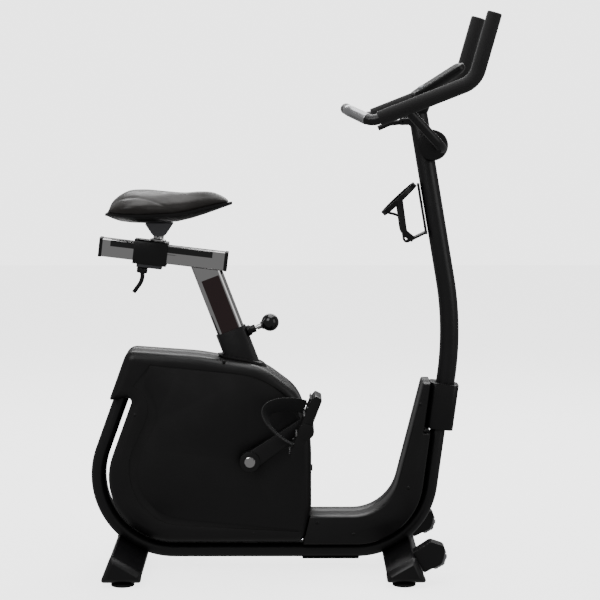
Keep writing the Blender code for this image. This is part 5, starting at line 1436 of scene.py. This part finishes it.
class BIKE_OT_bars(bpy.types.Operator):
    """Make the handlebar, its foam grips, the pulse plates, the clamp and its lever"""
    bl_idname = "bike.make_bars"
    bl_label = "Bars"

    def execute(self, context):
        bar = sweep(bar_path(), circle(BAR_RADIUS, 36), (1, 0, 0))
        moulding("handlebar_finished", merge(bar, arms_solid()), "paint", "bars", ["handlebar"],
                 0.0)
        for word, side in SIDES:
            path = bar_path()
            if side > 0:
                path.reverse()
            last = next(i for i, p in enumerate(path) if p.x < SIDE_LOW.x + 0.022)
            path = path[:last + 1]
            first = path[0] + (path[0] - path[1]).normalized() * 0.004
            outer, scales = [first], [0.86]
            outer.append(first.lerp(path[0], 0.35))
            scales.append(0.97)
            for point in path:
                outer.append(point)
                scales.append(1.0)
            end = (path[-1] - path[-2]).normalized()
            outer.append(path[-1] + end * 0.0012)
            scales.append(0.93)
            shape = sweep(outer, circle(FOAM_RADIUS, 40), (1, 0, 0), scales)
            moulding(f"grip_{word}_finished", shape, "foam", "bars", ["grip_" + word], 0.0, 50)
            self.pulse_plate(word, side)
        centre = PIVOT_AT + Vector((-0.014, 0, 0.003))
        half, radius = 0.032, 0.036
        profile = [(0, -half), (radius - 0.006, -half), (radius - 0.002, -half + 0.0012),
                   (radius, -half + 0.004), (radius, -0.0008), (radius - 0.0012, 0),
                   (radius, 0.0008), (radius, half - 0.004), (radius - 0.002, half - 0.0012),
                   (radius - 0.006, half), (0, half)]
        moulding("bar_clamp_finished", turned(profile, centre, (0, 1, 0), 64), "trim", "base",
                 ["bar_clamp"], 0.0)
        boss = rod(LEVER_AT - Vector((0, 0.0095, 0)), LEVER_AT + Vector((0, 0.0095, 0)), 0.0085)
        lever = rounded([LEVER_AT + Vector((0, 0, -0.001)), LEVER_AT + Vector((-0.030, 0, -0.004)),
                         Vector((0.207, 0, LEVER_AT.z - 0.016))], [0, 0.03, 0], False, 4.0)
        arm = sweep(lever, round_box(0.019, 0.012, 0.005))
        moulding("clamp_knob_finished", merge(boss, arm), "trim", "bar_lever", ["clamp_knob"],
                 0.0016)
        return {"FINISHED"}

    def pulse_plate(self, word, side):
        """A bright plate wrapped over the cross bar beside its corner."""
        path = bar_path()
        if side > 0:
            path.reverse()
        first = next(i for i, p in enumerate(path) if p.x < SIDE_LOW.x - 0.010)
        last = max(i for i, p in enumerate(path) if p.y * side > 0)
        line = path[first:last + 1] + [path[last] - Vector((0, side * 0.028, 0))]
        shape = sweep(line, circle(BAR_RADIUS + 0.0008, 36), (1, 0, 0))
        moulding(f"pulse_plate_{word}", shape, "sensor", "bars", (), 0.0005)


class BIKE_OT_console(bpy.types.Operator):
    """Make the console with its window and keys, and the bottle cage"""
    bl_idname = "bike.make_console"
    bl_label = "Console and cage"

    def execute(self, context):
        refine("console_case", finish("trim"), 0.0010)
        along = Vector((math.cos(CONSOLE_SLOPE), 0, math.sin(CONSOLE_SLOPE)))
        up = Vector((-math.sin(CONSOLE_SLOPE), 0, math.cos(CONSOLE_SLOPE)))
        refine("console_face", finish("glass"), 0.0004)
        face = CONSOLE_AT + up * (CONSOLE_THICK * 0.52)
        keys = []
        for number in range(5):
            y = (number - 2) * 0.026
            middle = face - along * 0.040 + Vector((0, y, 0))
            keys.append(sweep([middle - up * 0.001, middle + up * 0.0016],
                              round_box(0.018, 0.011, 0.0035), (0, 1, 0)))
        moulding("console_keys", merge(*keys), "print", "base", (), 0.0006)
        refine("bottle_cage", finish("trim"), 0.0012, 24.0)
        return {"FINISHED"}


class BIKE_OT_drive(bpy.types.Operator):
    """Finish the belt drive, the flywheel and the brake inside the shroud"""
    bl_idname = "bike.make_drive"
    bl_label = "Drive"

    def execute(self, context):
        finishes = {"frame_paint": "paint", "moulded_black": "trim", "gloss_black": "gloss",
                    "black_rubber": "rubber", "chrome": "chrome", "steel": "steel",
                    "grey_metal": "casting", "tread_grey": "tread", "black_foam": "foam",
                    "leatherette": "leather"}
        for name in ("crank_axle", "bearing_right", "bearing_left", "drive_pulley", "drive_belt",
                     "flywheel", "flywheel_axle", "magnet_arm", "brake_servo"):
            node = frame["nodes"][name]
            slot = next((s for s in finishes if s in node.data.materials[0].name), "steel")
            node.data.materials[0] = finish(finishes[slot])
        return {"FINISHED"}


# ---- stage --------------------------------------------------------------------------------
def area_light(name, place, target, size, power):
    light = bpy.data.lights.new(name, "AREA")
    light.shape = "RECTANGLE"
    light.size, light.size_y = size
    light.energy = power
    made = bpy.data.objects.new(name, light)
    made.location = place
    aim = Vector(target) - Vector(place)
    made.rotation_euler = aim.to_track_quat("-Z", "Y").to_euler()
    bpy.context.scene.collection.objects.link(made)
    return made


def studio_world():
    """White where the eye looks past the bike; lights it dimly, so black stays black."""
    world = bpy.data.worlds.new("studio")
    world.use_nodes = True
    tree = world.node_tree
    lighting = tree.nodes["Background"]
    lighting.inputs["Color"].default_value = linear("#ffffff")
    lighting.inputs["Strength"].default_value = WORLD_LIGHT
    seen = tree.nodes.new("ShaderNodeBackground")
    seen.inputs["Color"].default_value = linear("#ffffff")
    seen.inputs["Strength"].default_value = WORLD_SEEN
    rays = tree.nodes.new("ShaderNodeLightPath")
    choice = tree.nodes.new("ShaderNodeMixShader")
    tree.links.new(rays.outputs["Is Camera Ray"], choice.inputs["Fac"])
    tree.links.new(lighting.outputs["Background"], choice.inputs[1])
    tree.links.new(seen.outputs["Background"], choice.inputs[2])
    tree.links.new(choice.outputs["Shader"], tree.nodes["World Output"].inputs["Surface"])
    return world


class BIKE_OT_stage(bpy.types.Operator):
    """Make the floor, the lights, the pale surroundings and the camera"""
    bl_idname = "bike.make_stage"
    bl_label = "Stage"

    def execute(self, context):
        half = context.scene.bike_sizes.floor / 2
        corners = [(-half, -half, 0), (half, -half, 0), (half, half, 0), (-half, half, 0)]
        mesh = bpy.data.meshes.new("studio_floor")
        mesh.from_pydata(corners, [], [(0, 1, 2, 3)])
        floor = bpy.data.objects.new("studio_floor", mesh)
        context.scene.collection.objects.link(floor)
        paper = finish("floor")
        mesh.materials.append(paper)
        floor.visible_diffuse = False        # looks bright, yet lights nothing
        floor.visible_glossy = False
        context.scene.world = studio_world()
        area_light("key", (-1.6, -2.4, 3.0), (0, 0, 0.6), (2.0, 2.0), 34)
        area_light("top", (0.2, 0.4, 3.4), (0, 0, 0.6), (2.6, 2.6), 60)
        area_light("fill", (2.6, -1.6, 1.6), (0, 0, 0.6), (1.6, 2.2), 10)
        area_light("rim", (0.3, 2.6, 2.4), (0, 0, 0.7), (3.0, 1.0), 45)
        camera = bpy.data.cameras.new("camera")
        camera.lens = 124.5
        camera.sensor_width = 36.0
        made = bpy.data.objects.new("camera", camera)
        made.location = (-0.0026, -4.9, 1.162)
        down, turn = math.radians(6.1067), math.radians(0.3020)
        look = Vector((math.sin(turn) * math.cos(down), math.cos(turn) * math.cos(down),
                       -math.sin(down)))
        made.rotation_euler = look.to_track_quat("-Z", "Y").to_euler()
        context.scene.collection.objects.link(made)
        context.scene.camera = made
        return {"FINISHED"}


STEPS = (BIKE_OT_frame, BIKE_OT_feet, BIKE_OT_wheels, BIKE_OT_shroud, BIKE_OT_footwell,
         BIKE_OT_cranks, BIKE_OT_drive, BIKE_OT_seat, BIKE_OT_saddle, BIKE_OT_bars,
         BIKE_OT_console, BIKE_OT_stage)


class BIKE_PT_panel(bpy.types.Panel):
    """The steps that finish the bike, in order"""
    bl_idname = "BIKE_PT_panel"
    bl_label = "Exercise bike"
    bl_space_type = "VIEW_3D"
    bl_region_type = "UI"
    bl_category = "Bike"

    def draw(self, context):
        sizes = context.scene.bike_sizes
        for name in ("edge", "screw", "bolt", "knobs", "fill", "floor"):
            self.layout.prop(sizes, name)
        self.layout.prop(context.scene.bike_colours, "floor")
        for step in STEPS:
            self.layout.operator(step.bl_idname)


CLASSES = (BikeSizes, BikeColours) + STEPS + (BIKE_PT_panel,)


def register():
    for entry in CLASSES:
        bpy.utils.register_class(entry)
    bpy.types.Scene.bike_sizes = PointerProperty(type=BikeSizes)
    bpy.types.Scene.bike_colours = PointerProperty(type=BikeColours)


def unregister():
    del bpy.types.Scene.bike_colours
    del bpy.types.Scene.bike_sizes
    for entry in reversed(CLASSES):
        bpy.utils.unregister_class(entry)


def main():
    register()
    for step in STEPS:
        group, name = step.bl_idname.split(".")
        getattr(getattr(bpy.ops, group), name)()


if __name__ == "__main__":
    main()
